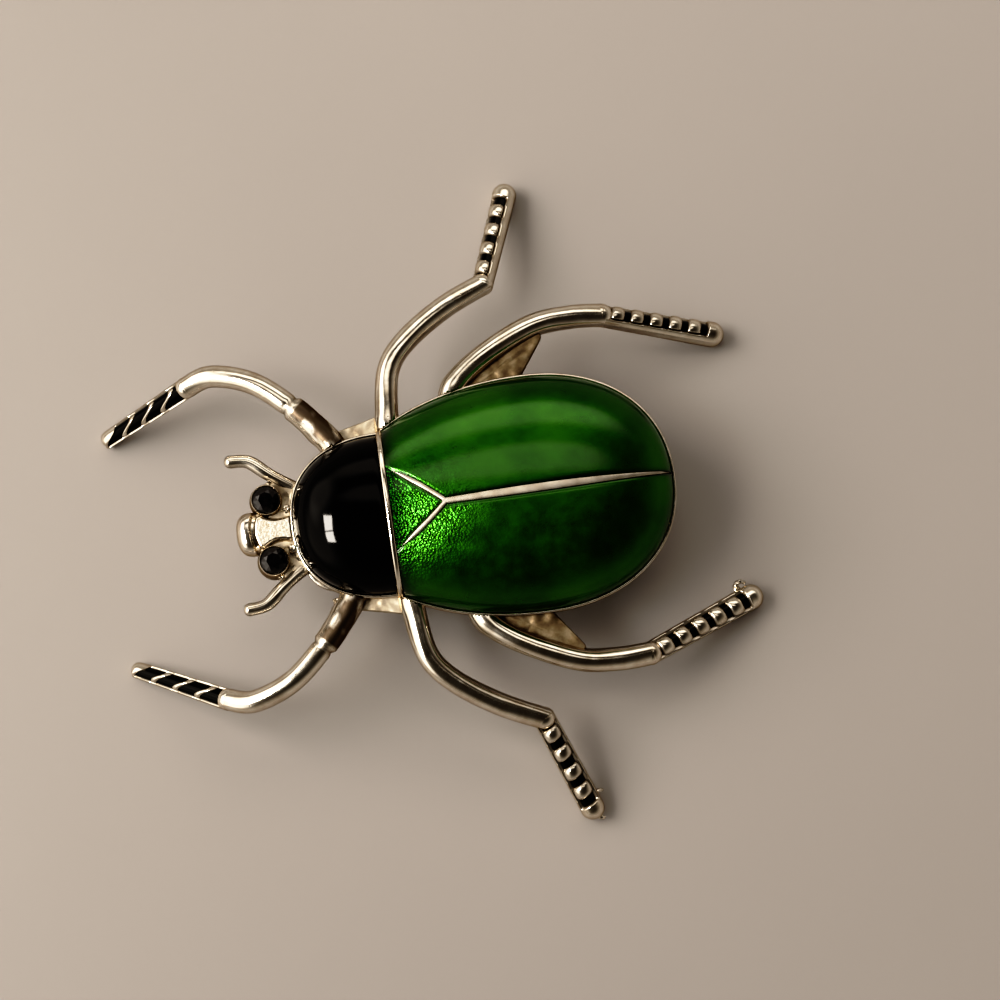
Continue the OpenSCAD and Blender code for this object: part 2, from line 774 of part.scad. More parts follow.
// Faceted stone: an eight-sided table over a sixteen-sided girdle and a pointed back
module eye_stone(side) {
    r = stone_d / 2;
    color("black") centred(RIGHT) translate([eye_x, side * eye_y, girdle_z]) hull() {
        translate([0, 0, crown_share * stone_d])
            linear_extrude(facet_t) circle(r = table_share * r, $fn = table_sides);
        translate([0, 0, facet_t])
            linear_extrude(girdle_t) rotate(girdle_turn) circle(r = r, $fn = girdle_sides);
        translate([0, 0, -pavilion_share * stone_d])
            linear_extrude(facet_t) circle(r = culet_share * r, $fn = table_sides);
    }
}

// Pin for cloth, closed in its catch, as one plain piece
module pin_back() {
    bar_z = back_z - fit_gap - bar_t;
    middle = (shield_front_x + wall_half + wing_len) / 2;
    head_end = middle - bar_len / 2 + bar_w / 2;
    tail_end = middle + bar_len / 2 - bar_w / 2;
    needle_z = back_z - needle_drop;
    needle_len = tail_end - head_end + knuckle_d / 2;
    color("lightgray") centred(RIGHT) union() {
        translate([head_end, -bar_w / 2, bar_z]) cube([tail_end - head_end, bar_w, bar_t]);
        for (x = [head_end, tail_end]) {
            translate([x, 0, bar_z]) cylinder(d = bar_w, h = bar_t, $fn = pin_sides);
            translate([x - knuckle_d / 2, -knuckle_d / 2, needle_z])
                cube([knuckle_d, knuckle_d, bar_z - needle_z + pin_overlap]);
        }
        translate([head_end, -knuckle_d / 2, needle_z])
            rotate([-90, 0, 0]) cylinder(d = knuckle_d, h = knuckle_d, $fn = pin_sides);
        translate([tail_end - knuckle_d / 2, 0, needle_z])
            rotate([0, 90, 0]) cylinder(d = knuckle_d, h = knuckle_d, $fn = pin_sides);
        translate([head_end, 0, needle_z])
            rotate([0, 90, 0]) cylinder(d = needle_d, h = needle_len, $fn = pin_sides);
        translate([tail_end + knuckle_d / 2, 0, needle_z])
            rotate([0, 90, 0]) cylinder(d1 = needle_d, d2 = point_d, h = point_len, $fn = pin_sides);
    }
}

casting();
pronotum_enamel();
wing_enamel(LEFT);  // left_wing_enamel
wing_enamel(RIGHT);  // right_wing_enamel
scutellum_enamel();
foot_enamel(left_front_foot, front_path(LEFT), LEFT);  // left_front_foot_enamel
foot_enamel(front_foot, front_path(RIGHT), RIGHT);  // right_front_foot_enamel
foot_enamel(mid_foot, mid_path(LEFT), LEFT);  // left_mid_foot_enamel
foot_enamel(mid_foot, mid_path(RIGHT), RIGHT);  // right_mid_foot_enamel
foot_enamel(hind_foot, hind_path(LEFT), LEFT);  // left_hind_foot_enamel
foot_enamel(hind_foot, hind_path(RIGHT), RIGHT);  // right_hind_foot_enamel
eye_stone(LEFT);  // left_eye_stone
eye_stone(RIGHT);  // right_eye_stone
pin_back();
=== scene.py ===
"""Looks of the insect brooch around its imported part. Lengths in the tables are millimetres of the
body's own frame: X runs from the head to the tail with zero at the wall across the back, Y to the
right side and Z up from the floor."""

import math

import bmesh
import bpy
import numpy as np
from mathutils import Matrix, Vector, noise


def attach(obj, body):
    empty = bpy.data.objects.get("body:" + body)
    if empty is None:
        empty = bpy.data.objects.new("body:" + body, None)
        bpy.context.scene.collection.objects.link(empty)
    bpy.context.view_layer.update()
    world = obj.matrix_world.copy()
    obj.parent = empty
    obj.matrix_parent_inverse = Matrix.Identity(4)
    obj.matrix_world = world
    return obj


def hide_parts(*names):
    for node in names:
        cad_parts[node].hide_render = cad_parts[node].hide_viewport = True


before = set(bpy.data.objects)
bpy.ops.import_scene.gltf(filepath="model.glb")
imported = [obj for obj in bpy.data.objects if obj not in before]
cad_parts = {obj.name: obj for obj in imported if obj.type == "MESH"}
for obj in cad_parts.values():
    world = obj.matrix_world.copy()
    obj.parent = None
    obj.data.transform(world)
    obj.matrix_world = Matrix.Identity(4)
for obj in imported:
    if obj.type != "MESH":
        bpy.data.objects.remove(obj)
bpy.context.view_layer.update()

MM = 0.001
RIGHT, LEFT = 1, -1
side_names = {RIGHT: "right", LEFT: "left"}

# Sizes as in the part's source
wing_w, wing_len, wing_h = 18.7, 22.5, 4.9
shield_w, shield_len, shield_h = 12.7, 7.5, 4.2
wall_half = 0.21
back_z, plate_top = 5.2, 6.8
enamel_t, fit_gap = 0.6, 0.04
scutellum_w, scutellum_len, rib_w, seam_w = 6.6, 4.4, 0.36, 0.6
head_len, head_w, head_t, lobe_w, lobe_h, face_w, face_rise = 4.7, 4.6, 1.1, 3.5, 2.2, 2.9, 0.7
stone_d, eye_spacing, cup_wall, cup_rise = 2.1, 4.9, 0.2, 1.1
antenna_d, antenna_reach, antenna_span = 0.95, 5.1, 3.0
leg_r, leg_rise = 0.925, 1.15
bar_len, bar_w, bar_t = 24.0, 3.0, 0.7
needle_drop, knuckle_d, point_len = 2.6, 2.2, 1.4
wing_power, shield_power, tail_power, front_power, arch_power = 2.2, 2.3, 2.4, 2.6, 2.3

apex_x = wall_half + scutellum_len
wing_wide_x = wing_len / 2 + wall_half
wing_rear = wing_len / 2
wing_front_run = 1.39 * wing_wide_x
shield_front_x = -wall_half - shield_len
head_front_x = shield_front_x - head_len
head_z = back_z + 0.2
eye_x = shield_front_x - 0.41 * head_len
eye_y = eye_spacing / 2
girdle_z = head_z + head_t + cup_rise
root_z = back_z + leg_rise
rib_side = rib_w / 2 / math.cos(math.atan(scutellum_w / 2 / scutellum_len))

# Legs: [along, out, up] as shares of reach, span and height, from the root to the tip
legs = {
    "front": dict(root=(-0.44 * shield_len, 0.41 * shield_w), reach=-18.8, span=8.0, bend=0.8,
                  grooves=4, slant=32, share=0.8, ankle=0.94, tip=0.74, hip=2,
                  route=[(0, 0, 1), (0.048, 0.19, 1.02), (0.16, 0.51, 1.03), (0.324, 0.85, 0.97),
                         (0.505, 1, 0.82), (0.622, 0.94, 0.66), (1, 0.5, 0)]),
    "mid": dict(root=(0.032 * wing_len, 0.33 * wing_w), reach=12.1, span=19.2, bend=0.0,
                grooves=5, slant=8, share=0.4, ankle=0.98, tip=1.08, hip=1,
                route=[(0, 0, 1), (0.008, 0.09, 1.02), (0.058, 0.28, 1), (0.207, 0.4, 0.93),
                       (0.479, 0.52, 0.78), (0.76, 0.604, 0.58), (1, 1, 0)]),
    "hind": dict(root=(0.263 * wing_len, 0.44 * wing_w), reach=22.1, span=5.6, bend=1.2,
                 grooves=6, slant=8, share=0.42, ankle=1.02, tip=1.14, hip=1,
                 route=[(0, 0, 1), (0.036, 0.29, 1.02), (0.154, 0.63, 1.02), (0.335, 0.95, 0.93),
                        (0.48, 1.02, 0.8), (0.597, 1, 0.66), (1, 0.375, 0)]),
}
antenna_root = (shield_front_x + 0.09 * shield_len, 0.235 * shield_w)
antenna_route = [(0, 0, 0), (0.25, 0.3, 0.35), (0.46, 0.57, 0.5), (0.72, 0.93, 0.55), (1, 1, 0.45)]

# Grooves as they look: their width and the beads' as shares of the part's, their depth and the glaze's level
# under the round foot, and the rail beside them as a share of its radius
foot_looks = {
    "front": dict(gap=0.78, bead=0.85, depth=0.34, level=0.12, rail=0.91),
    "mid": dict(gap=0.84, bead=1, depth=0.40, level=0.28, rail=0.78),
    "hind": dict(gap=0.72, bead=1, depth=0.40, level=0.28, rail=0.78),
}
# By front foot or not and by side: factor of the slant, bow, degrees off both rails and off the outer one
foot_sides = {(True, RIGHT): (1.5, 0.34, 0, 0), (True, LEFT): (-1.2, -0.24, 0, 0),
              (False, RIGHT): (1, 0, 0, 26), (False, LEFT): (1, 0, 11, 0)}
foot_start = 0.15
foot_rolls = {RIGHT: 28.0, LEFT: 4.0}
leg_steps, leg_count = 12, 32
under_rim, under_rim_z = 0.16, plate_top - 0.08


def leg_points(leg, side):
    tip_r = leg_r * leg["tip"]
    rows = []
    for along, out, up in leg["route"]:
        bend = leg["bend"] if along == 1 and side == RIGHT else 0
        rows.append((leg["root"][0] + leg["reach"] * along, leg["root"][1] + leg["span"] * out + bend,
                     tip_r + (root_z - tip_r) * up))
    return np.array(rows)


front_tip_x = legs["front"]["root"][0] + legs["front"]["reach"] - leg_r * legs["front"]["tip"]
hind_tip_x = legs["hind"]["root"][0] + legs["hind"]["reach"] + leg_r * legs["hind"]["tip"]
middle_x = (front_tip_x + hind_tip_x) / 2


# ---- Curves ----
def ease(t):
    """Soft step from 0 to 1."""
    t = np.clip(t, 0, 1)
    return t * t * (3 - 2 * t)


def cosine(count):
    """Shares from 0 to 1 that lie closer at both ends."""
    return (1 - np.cos(np.linspace(0, math.pi, count))) / 2


def falloff(share, power):
    """Rounded fall from 1 at the middle to 0 at the edge."""
    return (1 - share ** power) ** (1 / power)


def bell(distance, width, power=2):
    return np.exp(-(distance / width) ** power)


def full_turn(count):
    return np.linspace(0, 2 * math.pi, count + 1)[:-1]


def unit(v):
    v = np.asarray(v, float)
    return v / np.linalg.norm(v, axis=-1, keepdims=True)


def axes(direction):
    """Unit axes along a direction, or along each of several, level across it and square to both."""
    t = unit(direction)
    n = unit(np.stack([-t[..., 1], t[..., 0], 0 * t[..., 0]], -1))
    return t, n, np.cross(t, n)


def curve(points, steps):
    """Smooth curve through points."""
    p = np.asarray(points, float)
    out = []
    for i in range(len(p) - 1):
        a, b, c, d = p[max(i - 1, 0)], p[i], p[i + 1], p[min(i + 2, len(p) - 1)]
        for k in range(steps):
            s = k / steps
            out.append(0.5 * (2 * b + (c - a) * s + (2 * a - 5 * b + 4 * c - d) * s * s
                              + (3 * b - a - 3 * c + d) * s ** 3))
    out.append(p[-1])
    return np.array(out)


def run_along(path):
    return np.concatenate([[0], np.cumsum(np.linalg.norm(np.diff(path, axis=0), axis=1))])


def circle(centre, radius, turn, n, b):
    return centre + np.reshape(radius, (-1, 1)) * (np.cos(turn)[:, None] * n + np.sin(turn)[:, None] * b)


def row(x, y, z):
    return np.column_stack(np.broadcast_arrays(x, y, z))


def ripple(points, scale, size, seed=0.0):
    """Gentle unevenness of cast and hand-polished metal, as a number per point."""
    return np.array([size * noise.noise(Vector((p[0] * scale + seed, p[1] * scale, p[2] * scale)))
                     for p in np.asarray(points).reshape(-1, 3)])


# ---- Domes of the neck shield and the wing cases: X, half width and height at a station ----
def fore_half(x):
    return wing_w / 2 * np.sqrt(1 - ((wing_wide_x - x) / wing_front_run) ** 2)


def fore_top(x):
    return wing_h * (1 - 0.12 * ((wing_wide_x - x) / wing_wide_x) ** 2)


def shield_station(s, grow=0.0):
    return (-wall_half - (shield_len + grow) * s, (shield_w / 2 + grow) * falloff(s, shield_power),
            (shield_h + grow) * falloff(s, front_power))


def fore_station(x, grow=0.0):
    return x, fore_half(x) + grow, fore_top(x) + grow


def rear_station(s, grow=0.0):
    return (wing_wide_x + (wing_rear + grow) * s, (wing_w / 2 + grow) * falloff(s, wing_power),
            (wing_h + grow) * falloff(s, tail_power))


def arch(half, top, angle):
    return (half * np.sign(angle) * np.abs(np.sin(angle)) ** (2 / arch_power),
            plate_top + top * np.abs(np.cos(angle)) ** (2 / arch_power))


def wing_z(x, y):
    _, half, top = rear_station(np.clip((x - wing_wide_x) / wing_rear, 0, 1))
    half = np.where(x < wing_wide_x, fore_half(np.minimum(x, wing_wide_x)), half)
    top = np.where(x < wing_wide_x, fore_top(x), top)
    q = np.clip(np.abs(y) / np.maximum(half, 1e-6), 0, 1)
    return plate_top + top * falloff(q, arch_power)


def scutellum_half(x):
    s = np.minimum((x - wall_half) / scutellum_len, 1)
    return scutellum_w / 2 * (1 - s) * (1 + 0.18 * s)


def seam_half(x):
    s = np.clip((x - apex_x) / (wing_len - scutellum_len), 0, 1)
    return rib_side * (1 - s) + 0.06 * s + (seam_w / 2 - (rib_side + 0.06) / 2) * np.sin(math.pi * s)


def arm_half(x):
    """Half width of a scutellum rib: it runs out to a point just behind the wall."""
    return rib_side * ease((x - wall_half - 0.42) / 1.5) ** 0.7


def spine_edge(x):
    """Inner edge of a wing case, along the scutellum's rib and then along the seam."""
    return np.where(x < apex_x, scutellum_half(x) + arm_half(x), seam_half(x))


# ---- Meshes ----
merge_gap = 2e-7


def linked(name, data):
    thing = bpy.data.objects.new(name, data)
    bpy.context.scene.collection.objects.link(thing)
    return thing


def add_mesh(name, points, faces, material, slot, nodes, side=RIGHT, sharp=40, values=None):
    """Piece that rides on the root body, with named numbers per point. sharp=0 leaves it faceted."""
    placed = np.array(points, float)
    placed[:, 0] -= middle_x
    placed[:, 1] *= side
    mesh = bpy.data.meshes.new(name)
    mesh.from_pydata((placed * MM).tolist(), [], [tuple(int(i) for i in face) for face in faces])
    for key, numbers in (values or {}).items():
        store = mesh.attributes.new(key, "FLOAT", "POINT")
        store.data.foreach_set("value", np.asarray(numbers, float).ravel())
    work = bmesh.new()
    work.from_mesh(mesh)
    bmesh.ops.remove_doubles(work, verts=work.verts, dist=merge_gap)
    bmesh.ops.recalc_face_normals(work, faces=work.faces)
    work.to_mesh(mesh)
    work.free()
    if sharp:
        mesh.shade_smooth()
        mesh.set_sharp_from_angle(angle=math.radians(sharp))
    mesh.materials.append(material)
    piece = linked(name, mesh)
    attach(piece, "root")
    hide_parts(*nodes)
    return piece


def grid_faces(rows, cols, wrap=False, start=0):
    faces = []
    for i in range(rows - 1):
        for j in range(cols if wrap else cols - 1):
            a, b = start + i * cols + j, start + i * cols + (j + 1) % cols
            faces.append((a, b, b + cols, a + cols))
    return faces


def tube(rings, cap=True):
    """Points and faces of a closed tube through rings of equal count."""
    rings = np.asarray(rings)
    rows, cols = rings.shape[:2]
    points = rings.reshape(-1, 3)
    faces = grid_faces(rows, cols, wrap=True)
    if cap:
        points = np.vstack([points, rings[0].mean(0), rings[-1].mean(0)])
        count, last = rows * cols, (rows - 1) * cols
        for j in range(cols):
            k = (j + 1) % cols
            faces += [(count, k, j), (count + 1, last + j, last + k)]
    return points, faces


def shell(top, bottom):
    """Closed slab between two grids of points of equal shape."""
    top, bottom = np.array(top), np.array(bottom)
    rows, cols = top.shape[:2]
    count = rows * cols
    faces = grid_faces(rows, cols) + [tuple(reversed(f)) for f in grid_faces(rows, cols, start=count)]
    edge = [(0, j) for j in range(cols)] + [(i, cols - 1) for i in range(1, rows)] \
        + [(rows - 1, j) for j in range(cols - 2, -1, -1)] + [(i, 0) for i in range(rows - 2, -1, -1)]
    for (a, b), (c, d) in zip(edge, edge[1:]):
        faces.append((c * cols + d, a * cols + b, count + a * cols + b, count + c * cols + d))
    return np.vstack([top.reshape(-1, 3), bottom.reshape(-1, 3)]), faces


def join(parts):
    points, faces, offset = [], [], 0
    for p, f in parts:
        points.append(np.asarray(p))
        faces += [tuple(i + offset for i in face) for face in f]
        offset += len(p)
    return np.vstack(points), faces


def mirrored(half):
    """Whole profile from its half, which runs from the middle outward."""
    return [(-x, z) for x, z in half[:0:-1]] + half


# ---- Materials ----
class Nodes:
    """Nodes of a material or of the room, and the coordinates that their textures follow."""

    def __init__(self, owner, space):
        owner.use_nodes = True
        self.owner, self.tree = owner, owner.node_tree
        self.place = self.add("TexCoord").outputs[space]

    def wire(self, node, inputs):
        """Links the sockets among the inputs, and sets plain values on the node's own sockets."""
        for key, value in inputs.items():
            if isinstance(value, bpy.types.NodeSocket):
                self.tree.links.new(value, node.inputs[key])
            else:
                node.inputs[key].default_value = value

    def add(self, kind, inputs=None):
        node = self.tree.nodes.new("ShaderNode" + kind)
        self.wire(node, inputs or {})
        return node

    def maths(self, operation, *inputs):
        node = self.add("Math", dict(enumerate(inputs)))
        node.operation = operation
        return node.outputs[0]

    def dot(self, vector):
        node = self.add("VectorMath", {0: self.place, 1: vector})
        node.operation = "DOT_PRODUCT"
        return node.outputs["Value"]

    def noise(self, scale, detail=3.0, rough=0.5, stretch=None):
        place = self.place
        if stretch:
            place = self.add("Mapping", {"Vector": place, "Scale": stretch}).outputs["Vector"]
        inputs = {"Vector": place, "Scale": scale, "Detail": detail, "Roughness": rough}
        return self.add("TexNoise", inputs).outputs["Fac"]

    def cells(self, scale):
        return self.add("TexVoronoi", {"Vector": self.place, "Scale": scale}).outputs["Distance"]

    def value(self, name):
        """Number per point of the piece."""
        node = self.add("Attribute")
        node.attribute_name = name
        return node.outputs["Fac"]

    def ramp(self, source, *stops):
        """Colours over the stops, each a place and a colour."""
        node = self.add("ValToRGB", {"Fac": source})
        elements = node.color_ramp.elements
        for i in (0, -1):
            elements[i].position, elements[i].color = stops[i][0], (*stops[i][1], 1)
        for place, colour in stops[1:-1]:
            elements.new(place).color = (*colour, 1)
        return node.outputs["Color"]

    def remap(self, source, low, high, start=0.3, end=0.7, shape="LINEAR"):
        """Range from low to high while the source runs from start to end."""
        node = self.add("MapRange", {"Value": source, "From Min": start, "From Max": end, "To Min": low,
                                     "To Max": high})
        node.interpolation_type = shape
        return node.outputs["Result"]

    def mix(self, share, source, colour):
        node = self.add("Mix")
        node.data_type = "RGBA"
        self.wire(node, {"Factor": share, 6: source, 7: (*colour, 1)})
        return node.outputs[2]

    def bump(self, height, strength, distance, below=None):
        inputs = {"Height": height, "Strength": strength, "Distance": distance}
        if below is not None:
            inputs["Normal"] = below
        return self.add("Bump", inputs).outputs["Normal"]

    def shade(self, colour, roughness, normal=None, more=None):
        """The material, with its shader's inputs."""
        inputs = {"Base Color": colour, "Roughness": roughness, **(more or {})}
        if normal is not None:
            inputs["Normal"] = normal
        self.wire(self.tree.nodes["Principled BSDF"], inputs)
        return self.owner


def new_material(name):
    return Nodes(bpy.data.materials.new(name), "Object")


plain_metal = {"Metallic": 1.0}
warm_metal = {"Metallic": 1.0, "Specular Tint": (0.45, 0.36, 0.26, 1)}


def make_silver(name, smoothest, roughest):
    nodes = new_material(name)
    # Darkening toward dark brown and rougher metal: random grime on some pieces, painted shade in low places,
    # recesses and undersides on others
    grime_and_shade = nodes.value("grime_and_shade")
    wear = nodes.ramp(nodes.noise(900, 4, 0.6), (0.30, (0.66, 0.58, 0.47)), (0.55, (0.80, 0.74, 0.64)),
                      (0.75, (0.88, 0.84, 0.75)))
    smudges = nodes.remap(nodes.noise(420, 5, 0.65), smoothest, roughest)
    wave = nodes.bump(nodes.noise(480, 2), 0.30, 0.00012)
    scratches = nodes.bump(nodes.noise(2200, 2, 0.5, (1.0, 1.0, 0.12)), 0.10, 0.00002, wave)
    pits = nodes.remap(nodes.cells(1100), 0.0, 1.0, 0.0, 0.10)
    return nodes.shade(nodes.mix(grime_and_shade, wear, (0.055, 0.035, 0.019)),
                       nodes.maths("MULTIPLY_ADD", grime_and_shade, 0.3, smudges),
                       nodes.bump(pits, 0.22, 0.00003, scratches), warm_metal)


def make_grainy():
    nodes = new_material("grained_silver")
    grain = nodes.noise(7400, 3, 0.6)
    colour = nodes.ramp(grain, (0.36, (0.36, 0.28, 0.19)), (0.50, (0.74, 0.68, 0.57)),
                        (0.66, (0.90, 0.86, 0.77)))
    lumps = nodes.bump(nodes.noise(2100, 2), 0.15, 0.00005)
    return nodes.shade(colour, nodes.remap(grain, 0.50, 0.30), nodes.bump(grain, 0.55, 0.00004, lumps),
                       plain_metal)


def make_rough(name, tones, roughest):
    nodes = new_material(name)
    patches = nodes.noise(650, 5, 0.6)
    lumps = nodes.bump(nodes.noise(620, 2), 0.22, 0.00012)
    return nodes.shade(nodes.ramp(patches, *zip((0.34, 0.52, 0.70), tones)),
                       nodes.remap(patches, roughest, roughest - 0.14),
                       nodes.bump(nodes.noise(4200, 2), 0.22, 0.00003, lumps), warm_metal)


def make_black_enamel():
    nodes = new_material("black_enamel")
    haze = nodes.noise(260, 4)
    colour = nodes.ramp(haze, (0.3, (0.0016, 0.0016, 0.0018)), (0.75, (0.0035, 0.0032, 0.003)))
    wave = nodes.bump(nodes.noise(230, 2), 0.16, 0.00025)
    dust = nodes.remap(nodes.cells(620), 1.0, 0.0, 0.0, 0.035)
    return nodes.shade(colour, nodes.remap(haze, 0.03, 0.075), nodes.bump(dust, 0.25, 0.00004, wave),
                       {"IOR": 1.21})


def make_green_enamel():
    nodes = new_material("green_enamel")
    pebble = nodes.value("pebble")
    flow = nodes.ramp(nodes.noise(170), (0.28, (0.014, 0.062, 0.005)), (0.5, (0.036, 0.113, 0.011)),
                      (0.72, (0.054, 0.150, 0.017)))
    # Painted glints: brighter green where the pebbled metal is marked; the same value sets the pebbles' bump
    lit = nodes.maths("MULTIPLY", pebble, nodes.remap(nodes.noise(1700, 3, 0.6), 0.10, 1.0, 0.43, 0.61))
    colour = nodes.mix(lit, flow, (0.095, 0.34, 0.065))
    grain = nodes.maths("ADD", nodes.cells(5200), nodes.noise(2300, 3, 0.6))
    lumps = nodes.bump(nodes.noise(700), 0.22, 0.0001)
    wave = nodes.bump(nodes.noise(210, 2), 0.12, 0.00025)
    specks = nodes.remap(nodes.cells(420), 1.0, 0.0, 0.0, 0.03)
    # Painted shade: near-black where the edge value is high
    return nodes.shade(nodes.mix(nodes.value("edge"), colour, (0.0004, 0.007, 0.0006)),
                       nodes.remap(nodes.noise(900, 2), 0.27, 0.36),
                       nodes.bump(grain, pebble, 0.00009, lumps),
                       {"Metallic": 0.9, "Specular Tint": (0.10, 0.42, 0.06, 1), "Coat Weight": 0.8,
                        "Coat Roughness": 0.03, "Coat IOR": 1.35, "Coat Tint": (0.62, 1.0, 0.55, 1),
                        "Coat Normal": nodes.bump(specks, 0.35, 0.00006, wave)})


def make_stone():
    nodes = new_material("black_stone")
    haze = nodes.noise(1500)
    colour = nodes.ramp(haze, (0.3, (0.002, 0.002, 0.0025)), (0.7, (0.010, 0.008, 0.009)))
    return nodes.shade(colour, nodes.remap(haze, 0.02, 0.06), more={"IOR": 1.62})


def make_pin_steel():
    nodes = new_material("pin_steel")
    brush = nodes.noise(2600, 4, 0.6, (0.06, 1.0, 1.0))
    colour = nodes.ramp(brush, (0.3, (0.50, 0.49, 0.47)), (0.7, (0.74, 0.73, 0.71)))
    return nodes.shade(colour, nodes.remap(brush, 0.22, 0.38), nodes.bump(brush, 0.25, 0.00003), plain_metal)


def make_floor():
    """Pale paper with painted shade: a little darker on one side of a soft line through the middle."""
    nodes = new_material("pale_floor")
    cloud = nodes.noise(9, 4)
    paper = nodes.ramp(cloud, (0.3, (0.432, 0.403, 0.385)), (0.7, (0.461, 0.430, 0.410)))
    shade = nodes.remap(nodes.dot((0.2, -0.98, 0)), 0.0, 1.0, -0.045, 0.045)
    return nodes.shade(nodes.mix(shade, paper, (0.367, 0.337, 0.318)), nodes.remap(cloud, 0.48, 0.58),
                       nodes.bump(nodes.noise(120), 0.05, 0.0005))


silver = make_silver("polished_silver", 0.09, 0.19)
satin = make_silver("satin_silver", 0.26, 0.40)
grainy = make_grainy()
# Shaded copy of the rough silver: painted shade for the hind webs
shadowed_silver = make_rough("shadowed_silver", ((0.07, 0.05, 0.028), (0.17, 0.125, 0.075), (0.33, 0.27, 0.18)), 0.50)
light_silver = make_rough("light_silver", ((0.27, 0.22, 0.155), (0.44, 0.38, 0.29), (0.56, 0.50, 0.40)), 0.56)
black = make_black_enamel()
green = make_green_enamel()
stone = make_stone()
steel = make_pin_steel()


def add_metal(name, points, faces, side=RIGHT, sharp=40, grime_and_shade=None, metal=silver):
    """Piece of the casting. Its darkening, random grime on some pieces and painted shade on others, is one
    number or a number per point.
    """
    values = {} if grime_and_shade is None else {"grime_and_shade": np.broadcast_to(grime_and_shade, len(points))}
    return add_mesh(name, points, faces, metal, "casting_metal", ["casting"], side, sharp, values)


def uneven_grime(points, middle, scale, size, most):
    return np.clip(middle + ripple(points, scale, size), 0, most)


# ---- Body: plate with its rim, wall, ribs ----
# Outward growth and height
rim_profile = [(-0.3, 6.74), (0.03, 6.74), (0.03, 7.05), (0.05, 7.11), (0.095, 7.145), (0.16, 7.15),
               (0.22, 7.125), (0.262, 7.06), (0.28, 6.96), (0.285, 6.3), (0.27, 5.6), (0.23, 5.32),
               (0.14, 5.215), (0.0, 5.2), (-0.4, 5.2)]
# Across the wall, and height over the domes
wall_profile = mirrored([(0, 0.085), (0.1, 0.07), (0.175, 0.035), (0.205, -0.02), (0.205, -0.9)])
# Share of the rib's half width, and height over the glaze
rib_profile = mirrored([(0, 0.074), (0.4, 0.07), (0.78, 0.05), (0.94, 0.02), (1.0, -0.04), (1.0, -0.6)])


def outline_stations():
    """Half outline of the body from the front to the tail, as functions of the outward growth."""
    out = [lambda g, s=s: shield_station(s, g)[:2] for s in np.sin(np.radians(np.linspace(90, 0, 44)))]
    out += [lambda g, x=x: fore_station(x, g)[:2] for x in np.linspace(wall_half, wing_wide_x, 26)[:-1]]
    out += [lambda g, s=s: rear_station(s, g)[:2] for s in np.sin(np.radians(np.linspace(0, 90, 56)))]
    return out


def build_body():
    rings = []
    for station in outline_stations():
        right = [(*station(g), z) for g, z in rim_profile]
        rings.append(right + [(x, -y, z) for x, y, z in reversed(right)])
    points, faces = tube(rings, cap=False)
    # Painted shade: darker down the rim's side and underneath the plate
    add_metal("body_plate", points, faces, grime_and_shade=0.55 * np.clip((6.6 - points[:, 2]) / 1.2, 0, 1))


def build_wall():
    half, top = fore_half(wall_half) + 0.06, fore_top(wall_half)
    rings = [[(x, *arch(half + g, top + g, a)) for x, g in wall_profile]
             for a in np.linspace(-math.pi / 2, math.pi / 2, 90)]
    add_metal("back_wall", *tube(rings), grime_and_shade=0)


def rib(xs, middle, half, lift):
    rings = []
    for x, m, w, up in zip(xs, middle, half, lift):
        rings.append([(x, m + w * q, float(wing_z(x, m + w * q)) + fit_gap + z + up) for q, z in rib_profile])
    return tube(rings)


def build_ribs():
    parts = []
    start, end = wall_half + 0.45, apex_x - 0.05
    xs = start + (end - start) * np.linspace(0, 1, 40)
    for side in (RIGHT, LEFT):
        lift = -0.06 * (1 - ease((xs - start) / 0.9))
        parts.append(rib(xs, side * scutellum_half(xs), np.maximum(arm_half(xs), 0.02), lift))
    xs = np.concatenate([np.linspace(apex_x - 0.32, wing_wide_x, 30)[:-1],
                         wing_wide_x + (wing_rear - 0.22) * np.sin(np.linspace(0, math.pi / 2, 50))])
    half = seam_half(xs) * (1 - 0.5 * ease((apex_x - 0.1 - xs) / 0.25))
    taper = np.clip((wing_wide_x + wing_rear - 0.2 - xs) / 0.8, 0.15, 1)
    parts.append(rib(xs, 0 * xs, half * taper, 0.012 - 0.05 * (1 - taper)))
    points, faces = join(parts)
    add_metal("back_ribs", points, faces, metal=satin, grime_and_shade=uneven_grime(points, 0.38, 1.1, 0.3, 0.6))


# ---- Enamel ----
# Depth and width of the glaze's dip along a rib and along the wall, and width of its painted edge shade
lip_sink, lip_w = 0.09, 0.15
wall_sink, wall_sink_w = 0.04, 0.3
edge_shade_w, rim_cover = 0.17, 0.35


def painted_edge_shade(distance):
    """Painted shade on the glaze beside the metal, and none under the metal."""
    return np.where(distance < 0, 0, bell(np.maximum(distance, 0), edge_shade_w, 1.4))


def build_pronotum():
    angles = (cosine(73) - 0.5) * math.pi
    top, low = [], []
    for u in np.concatenate([[0, 0.006, 0.014, 0.026, 0.042], np.linspace(0.07, 0.992, 54)]):
        s = math.sin(u * math.pi / 2)
        x, half, up = shield_station(s)
        y, z = arch(half, up, angles)
        top.append(row(x - fit_gap, y, z + fit_gap - 0.10 * bell(-wall_half - x, 0.16)))
        x, half, up = shield_station(s * 0.93, -enamel_t)
        y, z = arch(half, up, angles)
        low.append(row(x - fit_gap, y, z + fit_gap))
    add_mesh("pronotum_gloss", *shell(top, low), black, "black_enamel", ["pronotum_enamel"], sharp=60)


